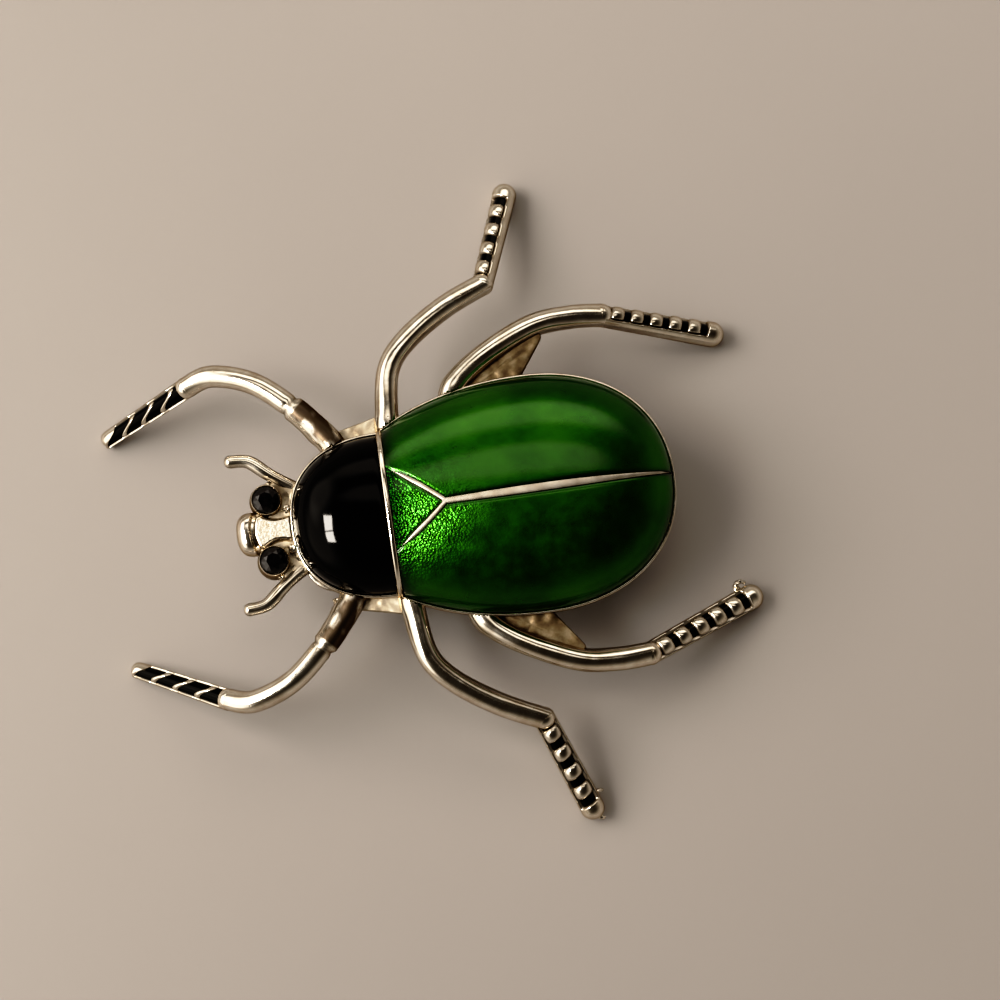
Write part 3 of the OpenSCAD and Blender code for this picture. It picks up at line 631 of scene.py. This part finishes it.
def build_wing(side):
    start = wall_half + fit_gap
    fore = start + (wing_wide_x - start) * np.linspace(0, 1, 44)[:-1] ** 1.5
    rear = np.sin(np.linspace(0, math.pi / 2 * 0.992, 44))
    top, low, edge_shades, pebble = [], [], [], []
    for x, half, up in [fore_station(x) for x in fore] + [rear_station(s) for s in rear]:
        inner = float(spine_edge(x)) + 0.01
        first = math.asin(min(inner / half, 1) ** (arch_power / 2))
        angles = first + (math.pi / 2 - first) * cosine(48)
        y, z = arch(half, up, angles)
        run = run_along(np.column_stack([y, z]))
        d_wall, d_out = x - wall_half, run[-1] - run
        sink = lip_sink * bell(run, lip_w) + wall_sink * bell(d_wall, wall_sink_w)
        if d_wall < 1.2:
            sink = np.minimum(sink, 0.1)
        top.append(row(x, y, z + fit_gap - sink))
        low_half = half - enamel_t if half > enamel_t else half * 0.4
        y, z = arch(low_half, up - min(enamel_t, up * 0.5), angles)
        low.append(row(x, np.maximum(y, inner), z + fit_gap))
        # Painted shade on the glaze beside the ribs, by the wall and inside the rim, wider on the left side
        near_rib = painted_edge_shade(run) * (ease((d_wall - 0.4) / 0.8) if x < apex_x else 1.0)
        near_rim = painted_edge_shade((d_out - rim_cover) * (1 if side == RIGHT else 0.7))
        edge_shades.append(np.maximum(np.maximum(near_rib, 0.92 * bell(d_wall, 0.95, 1.6)), near_rim))
        from_arm = run + 1.4 * max(x - apex_x - 0.6, 0)
        # Pebbled metal and painted glints, strongest near the scutellum's arm and on the left side
        pebble.append(0.03 + (0.14 if side == RIGHT else 0.54) * bell(from_arm, 3.1))
    under = np.ones(np.size(edge_shades))
    values = {"edge": np.concatenate([np.clip(edge_shades, 0, 1).ravel(), under]),
              "pebble": np.concatenate([np.ravel(pebble), 0.1 * under])}
    add_mesh(side_names[side] + "_wing_glaze", *shell(top, low), green, "green_enamel",
             [side_names[side] + "_wing_enamel"], side, 60, values)


def build_scutellum():
    start = wall_half + fit_gap
    q = 2 * cosine(41) - 1
    top, low, edge_shades = [], [], []
    for x in start + (apex_x - 0.22 - start) * np.linspace(0, 1, 50) ** 1.25:
        half = max(float(scutellum_half(x) - arm_half(x)) - 0.01, 0.02)
        y = half * q
        d_side, d_wall = half * (1 - np.abs(q)), x - wall_half
        fade = float(ease((d_wall - 0.4) / 0.8))
        sink = lip_sink * bell(d_side, lip_w) * fade + wall_sink * bell(d_wall, wall_sink_w)
        z = wing_z(x, y) + fit_gap
        top.append(row(x, y, z - np.minimum(sink, 0.1)))
        low.append(row(x, y, z - enamel_t))
        # Painted shade beside the ribs and towards the wall
        edge_shades.append(np.maximum(painted_edge_shade(d_side) * fade, 0.95 * bell(d_wall, 1.5, 2.2)))
    edge = np.concatenate([np.ravel(edge_shades), np.ones(np.size(edge_shades))])
    # The whole scutellum carries pebbled metal and painted glints
    add_mesh("scutellum_glaze", *shell(top, low), green, "green_enamel", ["scutellum_enamel"], sharp=60,
             values={"edge": np.clip(edge, 0, 1), "pebble": 0.68 * np.ones(len(edge))})


# ---- Legs and feet ----
def inside_outline(x, y, grow):
    shield = shield_station(np.clip((-wall_half - x) / (shield_len + grow), 0, 1), grow)[1]
    rear = rear_station(np.clip((x - wing_wide_x) / (wing_rear + grow), 0, 1), grow)[1]
    fore = fore_half(np.clip(x, wall_half, wing_wide_x)) + grow
    return np.abs(y) < np.where(x < 0, shield, np.where(x < wing_wide_x, fore, rear))


def build_leg(name, side):
    """Rod from under the body to the ankle, with a swollen hip and a round joint at the ankle."""
    leg, front = legs[name], name == "front"
    route = leg_points(leg, side)
    path = curve(route[:-1], leg_steps)
    _, n, b = axes(np.gradient(path, axis=0))
    run = run_along(path)
    hip_run = run[leg_steps * leg["hip"]] + 0.5
    if front:
        swell = 0.16 * ease((hip_run - run) / 0.16) - 0.10 * bell(run - hip_run - 0.12, 0.13)
    else:
        swell = 0.08 * ease((hip_run - run) / 1.2)
    radius = leg_r * (1 + (leg["ankle"] - 1) * run / run[-1]) * (1 + swell)
    turn = full_turn(leg_count)
    rings = []
    for i in range(len(path)):
        uneven = 1 + 0.018 * np.cos(2 * turn + 0.5 * run[i]) + 0.010 * np.sin(3 * turn + 0.9 * run[i])
        rings.append(circle(path[i], radius[i] * uneven, turn, n[i], b[i]))
    rings = np.array(rings)
    if front:
        cast = ripple(rings, 1.1, 0.08, 4.0).reshape(len(path), -1)
        cast *= ease((hip_run - 0.3 - run) / 0.3)[:, None]
        rings += cast[..., None] * (rings - path[:, None, :]) / radius[:, None, None]
    covered = inside_outline(rings[..., 0], rings[..., 1], under_rim)
    rings[..., 2] = np.where(covered, np.minimum(rings[..., 2], under_rim_z), rings[..., 2])
    # Painted shade on the underside of the rod, and darker near the body
    near = np.exp(-np.maximum(run - hip_run, 0) / 1.2)[:, None] * np.ones(len(turn))
    under = np.clip(0.72 - np.sin(turn), 0, 1)[None, :]
    grime_and_shade = np.clip(0.3 * near * (0.3 + under) + 0.5 * under ** 1.4, 0, 0.75)
    if front:
        # Front hips: a painted dark reflection over the top of the swollen hip, and a darker ring at its step
        patch_run = ease((hip_run - 0.2 - run) / 0.25)[:, None]
        uneven = ripple(rings, 1.0, 0.7, 11.0).reshape(len(path), -1)
        upper = ease((np.sin(turn - 0.42)[None, :] + uneven - 0.42) / 0.3)
        seam = bell(run - hip_run - 0.1, 0.13)[:, None]
        grime_and_shade = np.clip(np.maximum(grime_and_shade, np.maximum(0.95 * patch_run * upper, 0.8 * seam)), 0, 1)
    ankle, r = route[-2], 1.02 * leg_r * leg["ankle"]
    t_foot, n_foot, b_foot = axes(route[-1] - ankle)
    ball = tube([circle(ankle + r * math.sin(a) * t_foot, r * math.cos(a), turn, n_foot, b_foot)
                 for a in np.radians(np.linspace(-88, 88, 25))])
    grime_and_shade = np.concatenate([grime_and_shade.ravel(), [0.5, 0.5], np.zeros(len(ball[0]))])
    add_metal(f"{side_names[side]}_{name}_leg", *join([tube(rings), ball]), side, 50, grime_and_shade)


def build_foot(name, side):
    """Round foot with grooves between raised beads, and the black glaze in them."""
    leg, looks = legs[name], foot_looks[name]
    slant_factor, bow, both_cut, outer_cut = foot_sides[name == "front", side]
    ankle, tip = leg_points(leg, side)[-2:]
    length = float(np.linalg.norm(tip - ankle))
    t, n, b = axes(tip - ankle)
    roll = -math.radians(foot_rolls[side]) * (0.5 if t[0] < 0 else 1)
    y_axis = math.cos(roll) * n + math.sin(roll) * b
    z_axis = -math.sin(roll) * n + math.cos(roll) * b
    slant = math.tan(math.radians(leg["slant"])) * slant_factor
    r0, r1 = leg_r * leg["ankle"], leg_r * leg["tip"]
    grooves, depth = leg["grooves"], looks["depth"]
    pitch = (length - foot_start) / (grooves - 0.5 + leg["share"] / 2)
    width = pitch * leg["share"] * looks["gap"]
    bead_half = (pitch - width) / 2 * looks["bead"]
    first = foot_start + width / 2
    last = first + pitch * (grooves - 1)
    edge = math.degrees(math.acos(looks["rail"])) - both_cut
    outer = edge - outer_cut

    def drop_at(s, degrees):
        """Depth of the metal's surface under the round foot."""
        away = np.abs(s - (first + pitch * np.clip(np.round((s - first) / pitch), 0, grooves - 1)))
        u = np.clip((pitch / 2 - away) / bead_half, 0, 1)
        beyond = s < first or s > last
        drop = 1 - ease((away - width / 2) / 0.16) if beyond else 1 - falloff(u, 2.5)
        over = np.minimum(degrees - outer, 180 - edge - degrees)
        reach = ease(over / 7)
        crown = np.clip(over / ((180 - edge - outer) / 2), 0, 1)
        swell = 0.13 * (1 - np.sqrt(np.clip(1 - (1 - crown) ** 2, 0, 1))) * reach
        trench = 0.24 * bell(over - 4, 4.0)
        return depth * drop * reach + (swell + trench) * (0 if beyond else 1 - drop)

    def radius_at(s):
        if s > length:
            return math.sqrt(max(r1 * r1 - (s - length) ** 2, 1e-6))
        return r0 + (r1 - r0) * max(s, 0) / length

    def ring_at(s, drop, angles):
        """Points at a depth under the round foot, slanted and bowed like its grooves."""
        r = radius_at(s)
        y, z = (r - drop) * np.cos(angles), (r - drop) * np.sin(angles)
        fall = ease((s + 0.2) / 0.6) * ease((length + 0.6 * r1 - s) / 0.8)
        bend = bow * np.sin(math.pi * np.clip(y / (looks["rail"] * r0), -1, 1))
        x = s + (slant * y + bend) * fall * (z > -0.4 * r)
        return ankle + x[:, None] * t + y[:, None] * y_axis + z[:, None] * z_axis

    degrees = np.concatenate([np.linspace(-180, outer - 8, 26)[1:], np.linspace(outer - 6, 186 - edge, 70),
                              np.linspace(188 - edge, 180, 7)])
    angles = np.radians(degrees)
    end = np.radians([0, 8, 16, 24, 32, 40, 48, 56, 64, 72, 80, 86])
    rings, grime_and_shade = [], []
    for s in np.concatenate([np.arange(-0.25, length, 0.055), length + r1 * np.sin(end)]):
        drop = drop_at(s, degrees) * (1 if s < length + 0.2 else 0)
        rings.append(ring_at(s, drop, angles))
        # Painted shade in the grooves' hollows and on the foot's underside
        grime_and_shade.append(np.clip(drop / depth * 1.3, 0, 1) + 0.45 * np.clip(0.6 - np.sin(angles), 0, 1) ** 1.3)
    add_metal(f"{side_names[side]}_{name}_foot", *tube(rings), side, 60,
              np.concatenate([np.clip(grime_and_shade, 0, 1).ravel(), [0.5, 0.2]]))

    angles = np.radians(np.linspace(outer + 1.5, 180 - edge - 1.5, 45))
    at = np.arange(foot_start - 0.12, foot_start + width + pitch * (grooves - 1) + 0.16, 0.07)
    top, low = ([ring_at(s, drop, angles) for s in at] for drop in (looks["level"], depth + 0.1))
    add_mesh(f"{side_names[side]}_{name}_foot_glaze", *shell(list(top), list(low)), black, "black_enamel",
             [f"{side_names[side]}_{name}_foot_enamel"], side, 50)


# ---- Plates, webs and small marks ----
plate_count, plate_steps = 96, 7


def hull_outline(circles, radius, count=10):
    """Outline round circles of one radius."""
    pts = sorted((cx + radius * math.cos(a), cy + radius * math.sin(a))
                 for cx, cy in circles for a in full_turn(count))

    def half(items):
        out = []
        for p in items:
            while len(out) > 1 and ((out[-1][0] - out[-2][0]) * (p[1] - out[-2][1])
                                    - (out[-1][1] - out[-2][1]) * (p[0] - out[-2][0])) <= 0:
                out.pop()
            out.append(p)
        return out

    return np.array(half(pts)[:-1] + half(pts[::-1])[:-1])


def even_loop(loop, count):
    closed = np.vstack([loop, loop[:1]])
    run = run_along(closed)
    at = np.linspace(0, run[-1], count + 1)[:-1]
    return np.stack([np.interp(at, run, closed[:, 0]), np.interp(at, run, closed[:, 1])], 1)


def plate(loop, low, high, bevel, uneven=0.0):
    """Plate with a rounded upper edge over a closed outline, and an uneven top."""
    loop = even_loop(loop, plate_count)
    centre = loop.mean(0)
    toward = (centre - loop) / np.linalg.norm(loop - centre, axis=1, keepdims=True)
    base = loop + toward * bevel

    def level(outline, z):
        return np.column_stack([outline, np.full(len(outline), z)])

    rings = [level(loop, low), level(loop, high - bevel)]
    for a in np.radians((25, 50, 72, 90)):
        rings.append(level(loop + toward * bevel * (1 - math.cos(a)), high - bevel + bevel * math.sin(a)))
    rings += [level(base + (centre - base) * k / plate_steps, high) for k in range(1, plate_steps)]
    points, faces = tube(rings)
    points[:, 2] += np.where(points[:, 2] > high - 0.5 * bevel, ripple(points, 1.6, uneven, 3.0), 0)
    return points, faces


def build_webs(side):
    """Webs of metal between the front and the mid leg, and between the hind leg and the body."""
    front, mid, hind = (leg_points(legs[k], side) for k in ("front", "mid", "hind"))
    first = [legs["front"]["root"], front[1][:2], mid[1][:2], legs["mid"]["root"]]
    second = [legs["hind"]["root"], hind[2][:2], (hind[3][0] + 0.4, hind[3][1] - leg_r),
              (wing_wide_x - 0.4, wing_w / 2 - 0.4)]
    # The hind webs take the shaded copy of the rough silver: painted shade
    for place, corners, metal in (("front", first, light_silver), ("hind", second, shadowed_silver)):
        web = plate(hull_outline(corners, 0.3), back_z + 0.15, back_z + 1.05, 0.14, 0.08)
        add_metal(f"{side_names[side]}_{place}_web", *web, side, metal=metal)


head_web_corners = [(-7.2, 3.4), (-8.8, 3.8), (-9.4, 3.4), (-8.9, 1.7), (-7.7, 1.4)]
flange_top, flange_t = 5.95, 0.8


def build_head_webs():
    """Webs between the head and the neck shield, and metal spilled along the left rim."""
    for side in (RIGHT, LEFT):
        web = plate(hull_outline(head_web_corners, 0.25, 12), head_z + 0.15, head_z + 1.25, 0.3, 0.09)
        add_metal(side_names[side] + "_head_web", *web, side, metal=light_silver)
    across = np.linspace(0, 1, 7)[:, None]
    top = []
    for share in np.linspace(0, 1, 30):
        s = 0.93 - 0.33 * share
        far = shield_station(s, 0.3 + 0.26 * math.sin(math.pi * min(share * 1.3, 1)) ** 0.7)[:2]
        line = np.array([[*shield_station(s, 0.2)[:2], flange_top]]) * (1 - across) \
            + np.array([[*far, flange_top]]) * across
        line[:, 2:] -= 0.12 * across ** 6
        top.append(line)
    points, faces = shell(top, np.array(top) - np.array([0, 0, flange_t]))
    add_metal("left_rim_flange", points, faces, LEFT, grime_and_shade=uneven_grime(points, 0.3, 1.5, 0.6, 0.6))


def lump(centre, radius, seed):
    """Small uneven bead of solder or casting metal."""
    turn = full_turn(24)
    rings = []
    for a in np.radians(np.linspace(-80, 80, 13)):
        ring = row(math.cos(a) * np.cos(turn), math.cos(a) * np.sin(turn), math.sin(a))
        swell = 1 + ripple(ring, 1.7, 0.55, seed)
        rings.append(np.array(centre) + ring * swell[:, None] * radius)
    return tube(rings)


def thread(points, start, end):
    """Thin curled burr, thinning from one radius to the other."""
    path = curve(points, 8)
    _, n, b = axes(np.gradient(path, axis=0))
    turn = full_turn(16)
    rings = []
    for i in range(len(path)):
        r = start + (end - start) * i / (len(path) - 1)
        rings.append(circle(path[i], r * (1 + 0.16 * np.cos(3 * turn + i)), turn, n[i], b[i]))
    return tube(rings)


solder_beads = [
    # x, y, z, radius
    (-8.1, 1.55, 6.95, 0.30), (-9.35, 3.6, 6.35, 0.34), (-9.2, -3.75, 6.4, 0.36),
    (-8.05, -1.65, 6.95, 0.34), (-7.55, -2.5, 6.7, 0.24), (-5.15, -6.35, 6.3, 0.34),
]
casting_burrs = [
    # route, first and last radius
    ([(27.1, -9.75, 1.1), (26.95, -9.25, 1.25), (27.3, -8.95, 1.3), (27.75, -9.1, 1.2)], 0.30, 0.13),
    ([(13.1, -24.3, 1.3), (13.5, -24.1, 1.2), (13.85, -24.1, 1.0)], 0.26, 0.12),
    ([(13.2, -26.1, 0.8), (13.55, -26.3, 0.7), (13.75, -26.25, 0.6)], 0.24, 0.1),
]


def build_small_marks():
    points, faces = join([lump(bead[:3], bead[3], 4.0 * i) for i, bead in enumerate(solder_beads)])
    add_metal("solder_beads", points, faces, grime_and_shade=uneven_grime(points, 0.15, 2.5, 0.5, 0.5))
    points, faces = join([thread(*burr) for burr in casting_burrs])
    add_metal("casting_burrs", points, faces, grime_and_shade=uneven_grime(points, 0.2, 3.0, 0.5, 0.6))


# ---- Head ----
lobe_len = 0.27 * head_len
lobe_x = head_front_x + lobe_len
# Half outline of the face plate: share of its length and of its half width
face_outline = [(0, 0.80), (0.09, 0.98), (0.2, 1.0), (0.36, 0.80), (0.55, 0.66), (0.78, 0.66), (1.0, 0.74)]


def build_head_plate():
    ends = ((shield_front_x + 1.2, head_w * 0.45), (eye_x, head_w * 0.4))
    points = [(cx + r * math.cos(a), r * math.sin(a)) for cx, r in ends for a in full_turn(40)]
    base = plate(hull_outline(points, 0.001, 3), head_z, head_z + head_t, 0.2, 0.08)
    add_metal("head_plate", *base, metal=light_silver)


def build_lobe():
    """Polished lobe at the front, with a groove behind it."""
    turn = full_turn(96)
    square = (np.abs(np.cos(turn)) ** 2.6 + np.abs(np.sin(turn)) ** 2.6) ** (-1 / 2.6)
    rings = []
    for e in np.sin(np.linspace(math.pi / 2, 0.02, 36)):
        x = lobe_x - lobe_len * e * np.cos(turn) * square
        y = lobe_w / 2 * e * np.sin(turn) * square
        z = head_z + 0.03 + (lobe_h - 0.15) * falloff(e, 3.4)
        groove = lobe_x - 0.10 + 0.24 * (y / 1.3) ** 2
        rings.append(row(x, y, z - 0.55 * ease((x - groove + 0.10) / 0.16) * (z > head_z + 0.6)))
    points, faces = tube(rings)
    # Painted shade: the lobe darker towards its foot
    add_metal("head_lobe", points, faces, sharp=70,
              grime_and_shade=np.clip(0.5 * (1.1 - (points[:, 2] - head_z)), 0, 0.5))


def build_face():
    """Grained plate with polished edges and a waist."""
    places, widths = np.transpose(face_outline)
    high, low = head_z + head_t + face_rise, head_z + head_t - 0.15
    v = 2 * cosine(61) - 1
    front, rear = lobe_x + 0.02 + 0.42 * np.abs(v) ** 2.2, shield_front_x - 0.36
    top, masks = [], []
    for share in cosine(70):
        x = front + (rear - front) * share
        around = np.clip(share + np.linspace(-0.07, 0.07, 9), 0, 1)
        half = np.interp(around, places, widths * face_w / 2).mean()
        q = np.clip(np.minimum(half * (1 - np.abs(v)), 0.8 * (x - front) + 1e-6) / 0.36, 0, 1)
        top.append(row(x, half * v, low + (high - low) * np.sqrt(np.clip(1 - (1 - q) ** 2.2, 0, 1))))
        masks.append(q)
    bottom = np.array(top)
    bottom[..., 2] = head_z + 0.3
    points, faces = shell(top, bottom)
    inner = np.ravel(masks) > 0.93
    points[: len(inner), 2] += np.where(inner, ripple(points[: len(inner)], 6.0, 0.012, 7.0), 0)
    piece = add_mesh("head_face", points, faces, silver, "casting_metal", ["casting"], sharp=60,
                     values={"grime_and_shade": np.zeros(len(points)), "inner": np.concatenate([inner, 0 * inner])})
    piece.data.materials.append(grainy)
    flags = [d.value > 0.5 for d in piece.data.attributes["inner"].data]
    for face in piece.data.polygons:
        if all(flags[i] for i in face.vertices):
            face.material_index = 1


def lathe(profile, centre, count):
    return tube([[(centre[0] + r * math.cos(a), centre[1] + r * math.sin(a), z) for a in full_turn(count)]
                 for r, z in profile])


# Outward from the cup's wall and upward from the head or from the stone's girdle
cup_foot = [(0.16, 0.35), (0.04, 0.62), (-0.03, 0.95)]
cup_lip = [(-0.07, -0.18), (-0.09, -0.07), (-0.115, -0.01), (-0.14, 0.01), (-0.17, -0.01)]
cup_inside = [(0.01, -0.06), (0, -0.2), (0, -0.68), (-0.89, -0.72)]
# Stone: count of corners, share of its radius, height over the girdle and turn of each ring, and its point
gem_rings = [(8, 0.55, 0.415, 0), (8, 0.80, 0.245, 0.5), (16, 0.985, 0.08, 0), (16, 0.985, 0.02, 0),
             (8, 0.45, -0.36, 0.5)]
gem_point = 0.62


def build_eye(side):
    """Thin cup, and a brilliant-cut stone in it."""
    inner_r = stone_d / 2 + fit_gap
    cup_r = inner_r + cup_wall
    profile = [(cup_r + out, head_z + up) for out, up in cup_foot]
    profile += [(cup_r + out, girdle_z + up) for out, up in cup_lip]
    profile += [(inner_r + out, girdle_z + up) for out, up in cup_inside]
    points, faces = lathe(profile, (eye_x, eye_y), 64)
    # Painted shade: the cup darker below its lip
    add_metal(side_names[side] + "_eye_cup", points, faces, side,
              grime_and_shade=np.clip(0.75 * (girdle_z - 0.05 - points[:, 2]), 0, 0.75))

    points = []
    for count, share, up, shift in gem_rings:
        for k in range(count):
            a, r = 2 * math.pi * (k + shift) / count, share * stone_d / 2
            points.append((eye_x + r * math.cos(a), eye_y + r * math.sin(a), girdle_z + up))
    points.append((eye_x, eye_y, girdle_z - gem_point))
    faces = [tuple(range(8))]
    for k in range(8):
        kite, before = 8 + k, 8 + (k - 1) % 8
        g0, g1, g2 = (16 + (2 * k + i) % 16 for i in range(3))
        faces += [(k, kite, (k + 1) % 8), (k, before, g0, kite), (kite, g0, g1), (kite, g1, g2)]
    for k in range(16):
        faces.append((16 + k, 32 + k, 32 + (k + 1) % 16, 16 + (k + 1) % 16))
    for k in range(8):
        back, before = 48 + k, 48 + (k - 1) % 8
        g0, g1, g2 = (32 + (2 * k + i) % 16 for i in range(3))
        faces += [(back, g1, g0), (back, g2, g1), (before, back, g0), (before, 56, back)]
    add_mesh(side_names[side] + "_eye_gem", points, faces, stone, "eye_stone",
             [side_names[side] + "_eye_stone"], side, sharp=0)


def build_antenna(side):
    route = [(antenna_root[0] - antenna_reach * a, antenna_root[1] + antenna_span * o,
              head_z + head_t / 2 + head_t * u) for a, o, u in antenna_route]
    path = curve(route, 12)
    t, n, b = axes(np.gradient(path, axis=0))
    run, turn = run_along(path), full_turn(28)
    even = antenna_d / 2 * (1.12 + 0.05 * np.sin(1.9 * run + 0.6))
    radius = even + antenna_d / 2 * 0.12 * np.exp(-run / 0.7)
    rings = [circle(path[i], radius[i], turn, n[i], b[i]) for i in range(len(path))]
    for a in np.radians((12, 26, 40, 54, 68, 82)):
        rings.append(circle(path[-1] + 0.95 * even[-1] * math.sin(a) * t[-1], even[-1] * math.cos(a), turn,
                            n[-1], b[-1]))
    # Darker near the root, and painted shade on the underside
    share = np.linspace(0, 1, len(rings))[:, None] * np.ones(len(turn))
    under = ease((0.85 - np.sin(turn)) / 0.4)[None, :]
    grime_and_shade = np.clip(np.clip(0.45 * (1 - 2.2 * share), 0, 0.5) + 0.55 * under, 0, 0.8)
    add_metal(side_names[side] + "_antenna", *tube(rings), side,
              grime_and_shade=np.concatenate([grime_and_shade.ravel(), [0.4, 0.2]]))


def build_head():
    build_head_plate()
    build_lobe()
    build_face()
    for side in (RIGHT, LEFT):
        build_eye(side)
        build_antenna(side)


# ---- Pin on the back ----
needle_r = 0.385


def build_pin():
    """Bar with a hinge and a catch, and a closed needle with a point."""
    bar_top = back_z - fit_gap
    bar_z, needle_z = bar_top - bar_t, back_z - needle_drop
    middle = (shield_front_x + wall_half + wing_len) / 2
    ends = middle - bar_len / 2 + bar_w / 2, middle + bar_len / 2 - bar_w / 2
    parts = [plate(hull_outline([(x, 0) for x in ends], bar_w / 2, 48), bar_z, bar_top, 0.1)]
    r = knuckle_d / 2
    for x in ends:
        rings = []
        for y, inset in ((-1.0, 0.93), (-0.93, 0.985), (-0.8, 1.0), (0.8, 1.0), (0.93, 0.985), (1.0, 0.93)):
            ring = [(x + r * inset * math.cos(a), y * r, needle_z + r * inset * math.sin(a))
                    for a in np.radians(np.linspace(0, -180, 25))]
            rings.append([(x + r * inset, y * r, bar_z + 0.1), *ring, (x - r * inset, y * r, bar_z + 0.1)])
        parts.append(tube(rings))
    add_mesh("pin_frame", *join(parts), steel, "pin_metal", ["pin_back"], sharp=35)
    start, end = ends[0], ends[1] + r
    stations = [(start, 0.4), (start + 1, 0.4), (end - 0.2, 0.4), (end, needle_r)]
    stations += [(end + point_len * k / 8, needle_r * (1 - k / 8) ** 0.8 + 0.04) for k in range(1, 9)]
    rings = [[(x, rad * math.cos(a), needle_z + rad * math.sin(a)) for a in full_turn(24)]
             for x, rad in stations]
    add_mesh("pin_needle", *tube(rings), steel, "pin_metal", ["pin_back"], sharp=50)


build_body()
build_wall()
build_ribs()
build_pronotum()
build_scutellum()
build_head()
build_head_webs()
build_small_marks()
for each in (RIGHT, LEFT):
    build_wing(each)
    build_webs(each)
    for kind in legs:
        build_leg(kind, each)
        build_foot(kind, each)
build_pin()


# ---- Floor, light and camera, in metres of the row's frame ----
lens, sensor = 109.6, 36
eye_point = Vector((0.00237, -0.02357, 0.2489))
right_axis = Vector((0.990, -0.141, 0.0)).normalized()
back_axis = Vector((-0.0137, -0.0964, 0.9952)).normalized()
up_axis = back_axis.cross(right_axis).normalized()
right_axis = up_axis.cross(back_axis).normalized()

floor_reach, floor_count = 1.5, 24
lamp_colour = (1.0, 0.93, 0.84)
# Two windows that the neck shield mirrors into the camera at this place
window_seen = (-4.82, -1.02)
window_away, window_apart, window_size, window_power, window_lean = 0.55, 0.054, 0.098, 2.5, 8
fill_direction, fill_away, fill_size, fill_power = (-0.70, 0.30, 0.65), 1.5, 0.95, 16.0
room_patches = [
    # direction, half width and half height in degrees, colour, strength
    ((0.12, 0.76, 0.64), 44, 15, (1.0, 0.91, 0.80), 1.9),
    ((-0.70, 0.42, 0.56), 24, 22, (1.0, 0.92, 0.82), 2.2),
    ((-0.90, -0.22, 0.46), 38, 26, (1.0, 0.92, 0.82), 1.6),
    ((0.05, 0.30, 0.95), 30, 9, (1.0, 0.91, 0.80), 1.7),
]


def pose(place, right, up, back):
    return Matrix.Translation(place) @ Matrix((right, up, back)).transposed().to_4x4()


def build_floor():
    mesh = bpy.data.meshes.new("floor")
    at = np.linspace(-floor_reach, floor_reach, floor_count)
    mesh.from_pydata([(x, y, 0.0) for x in at for y in at], [], grid_faces(floor_count, floor_count))
    mesh.materials.append(make_floor())
    linked("floor", mesh)


def build_camera():
    data = bpy.data.cameras.new("camera")
    data.lens, data.sensor_width, data.clip_start = lens, sensor, 0.01
    camera = linked("camera", data)
    camera.matrix_world = pose(eye_point, right_axis, up_axis, back_axis)
    bpy.context.scene.camera = camera


def add_area(name, size, power, matrix):
    data = bpy.data.lights.new(name, "AREA")
    data.size, data.energy, data.color = size, power, lamp_colour
    light = linked(name, data)
    light.matrix_world = matrix
    return light


def mirror_from(x, y):
    """Point of the neck shield's dome and the direction in which it mirrors the camera's view."""
    def surface(px, py):
        _, half, top = shield_station(max((-wall_half - px) / shield_len, 0.0))
        return plate_top + top * falloff(min(abs(py) / half, 1), arch_power)

    step = 0.02
    normal = Vector((-(surface(x + step, y) - surface(x - step, y)) / (2 * step),
                     -(surface(x, y + step) - surface(x, y - step)) / (2 * step), 1)).normalized()
    point = Vector((x - middle_x, y, surface(x, y))) * MM
    view = (point - eye_point).normalized()
    return point, view - 2 * view.dot(normal) * normal


def add_lamps():
    point, direction = mirror_from(*window_seen)
    side = direction.cross(Vector((0, 0, 1))).normalized()
    rise = side.cross(direction).normalized()
    lean = math.radians(window_lean)
    along = side * math.cos(lean) + rise * math.sin(lean)
    for name, shift in (("window_near", -1), ("window_far", 1)):
        place = point + along * shift * window_apart + direction * window_away
        window = add_area(name, window_size, window_power,
                          pose(place, along, direction.cross(along), direction))
        window.visible_diffuse = False
    direction = Vector(fill_direction).normalized()
    turned = direction.to_track_quat("Z", "Y").to_matrix().to_4x4()
    fill = add_area("soft_fill", fill_size, fill_power, Matrix.Translation(direction * fill_away) @ turned)
    fill.visible_glossy = False


def patch(room, direction, width, height, colour, strength):
    """Soft oval patch of light in the room."""
    ahead = Vector(direction).normalized()
    side = Vector((0, 0, 1)).cross(ahead).normalized()
    across = room.dot(side / math.sin(math.radians(width)))
    upward = room.dot(ahead.cross(side) / math.sin(math.radians(height)))
    away = room.maths("SQRT", room.maths("ADD", room.maths("MULTIPLY", across, across),
                                         room.maths("MULTIPLY", upward, upward)))
    fade = room.remap(away, 0.0, strength, 1.15, 0.45, "SMOOTHERSTEP")
    facing = room.maths("GREATER_THAN", room.dot(ahead), 0.0)
    light = room.add("Background", {"Color": (*colour, 1), "Strength": room.maths("MULTIPLY", fade, facing)})
    return light.outputs["Background"]


def build_room():
    """Warm room, lighter towards the floor, with soft patches of light."""
    world = bpy.data.worlds.new("room")
    room = Nodes(world, "Generated")
    height = room.add("SeparateXYZ", {0: room.place}).outputs["Z"]
    base = room.tree.nodes["Background"]
    room.wire(base, {"Color": (1.0, 0.87, 0.72, 1),
                     "Strength": room.remap(height, 0.42, 0.035, 0.0, 0.8, "SMOOTHSTEP")})
    total = base.outputs["Background"]
    for values in room_patches:
        total = room.add("AddShader", {0: total, 1: patch(room, *values)}).outputs[0]
    room.wire(room.tree.nodes["World Output"], {"Surface": total})
    bpy.context.scene.world = world


build_floor()
build_camera()
add_lamps()
build_room()
view = bpy.context.scene.view_settings
view.view_transform = "Standard"
view.use_curve_mapping = True
for place, value in ((0.03, 0.008), (0.12, 0.09), (0.32, 0.32), (0.7, 0.78)):
    view.curve_mapping.curves[3].points.new(place, value)
view.curve_mapping.update()
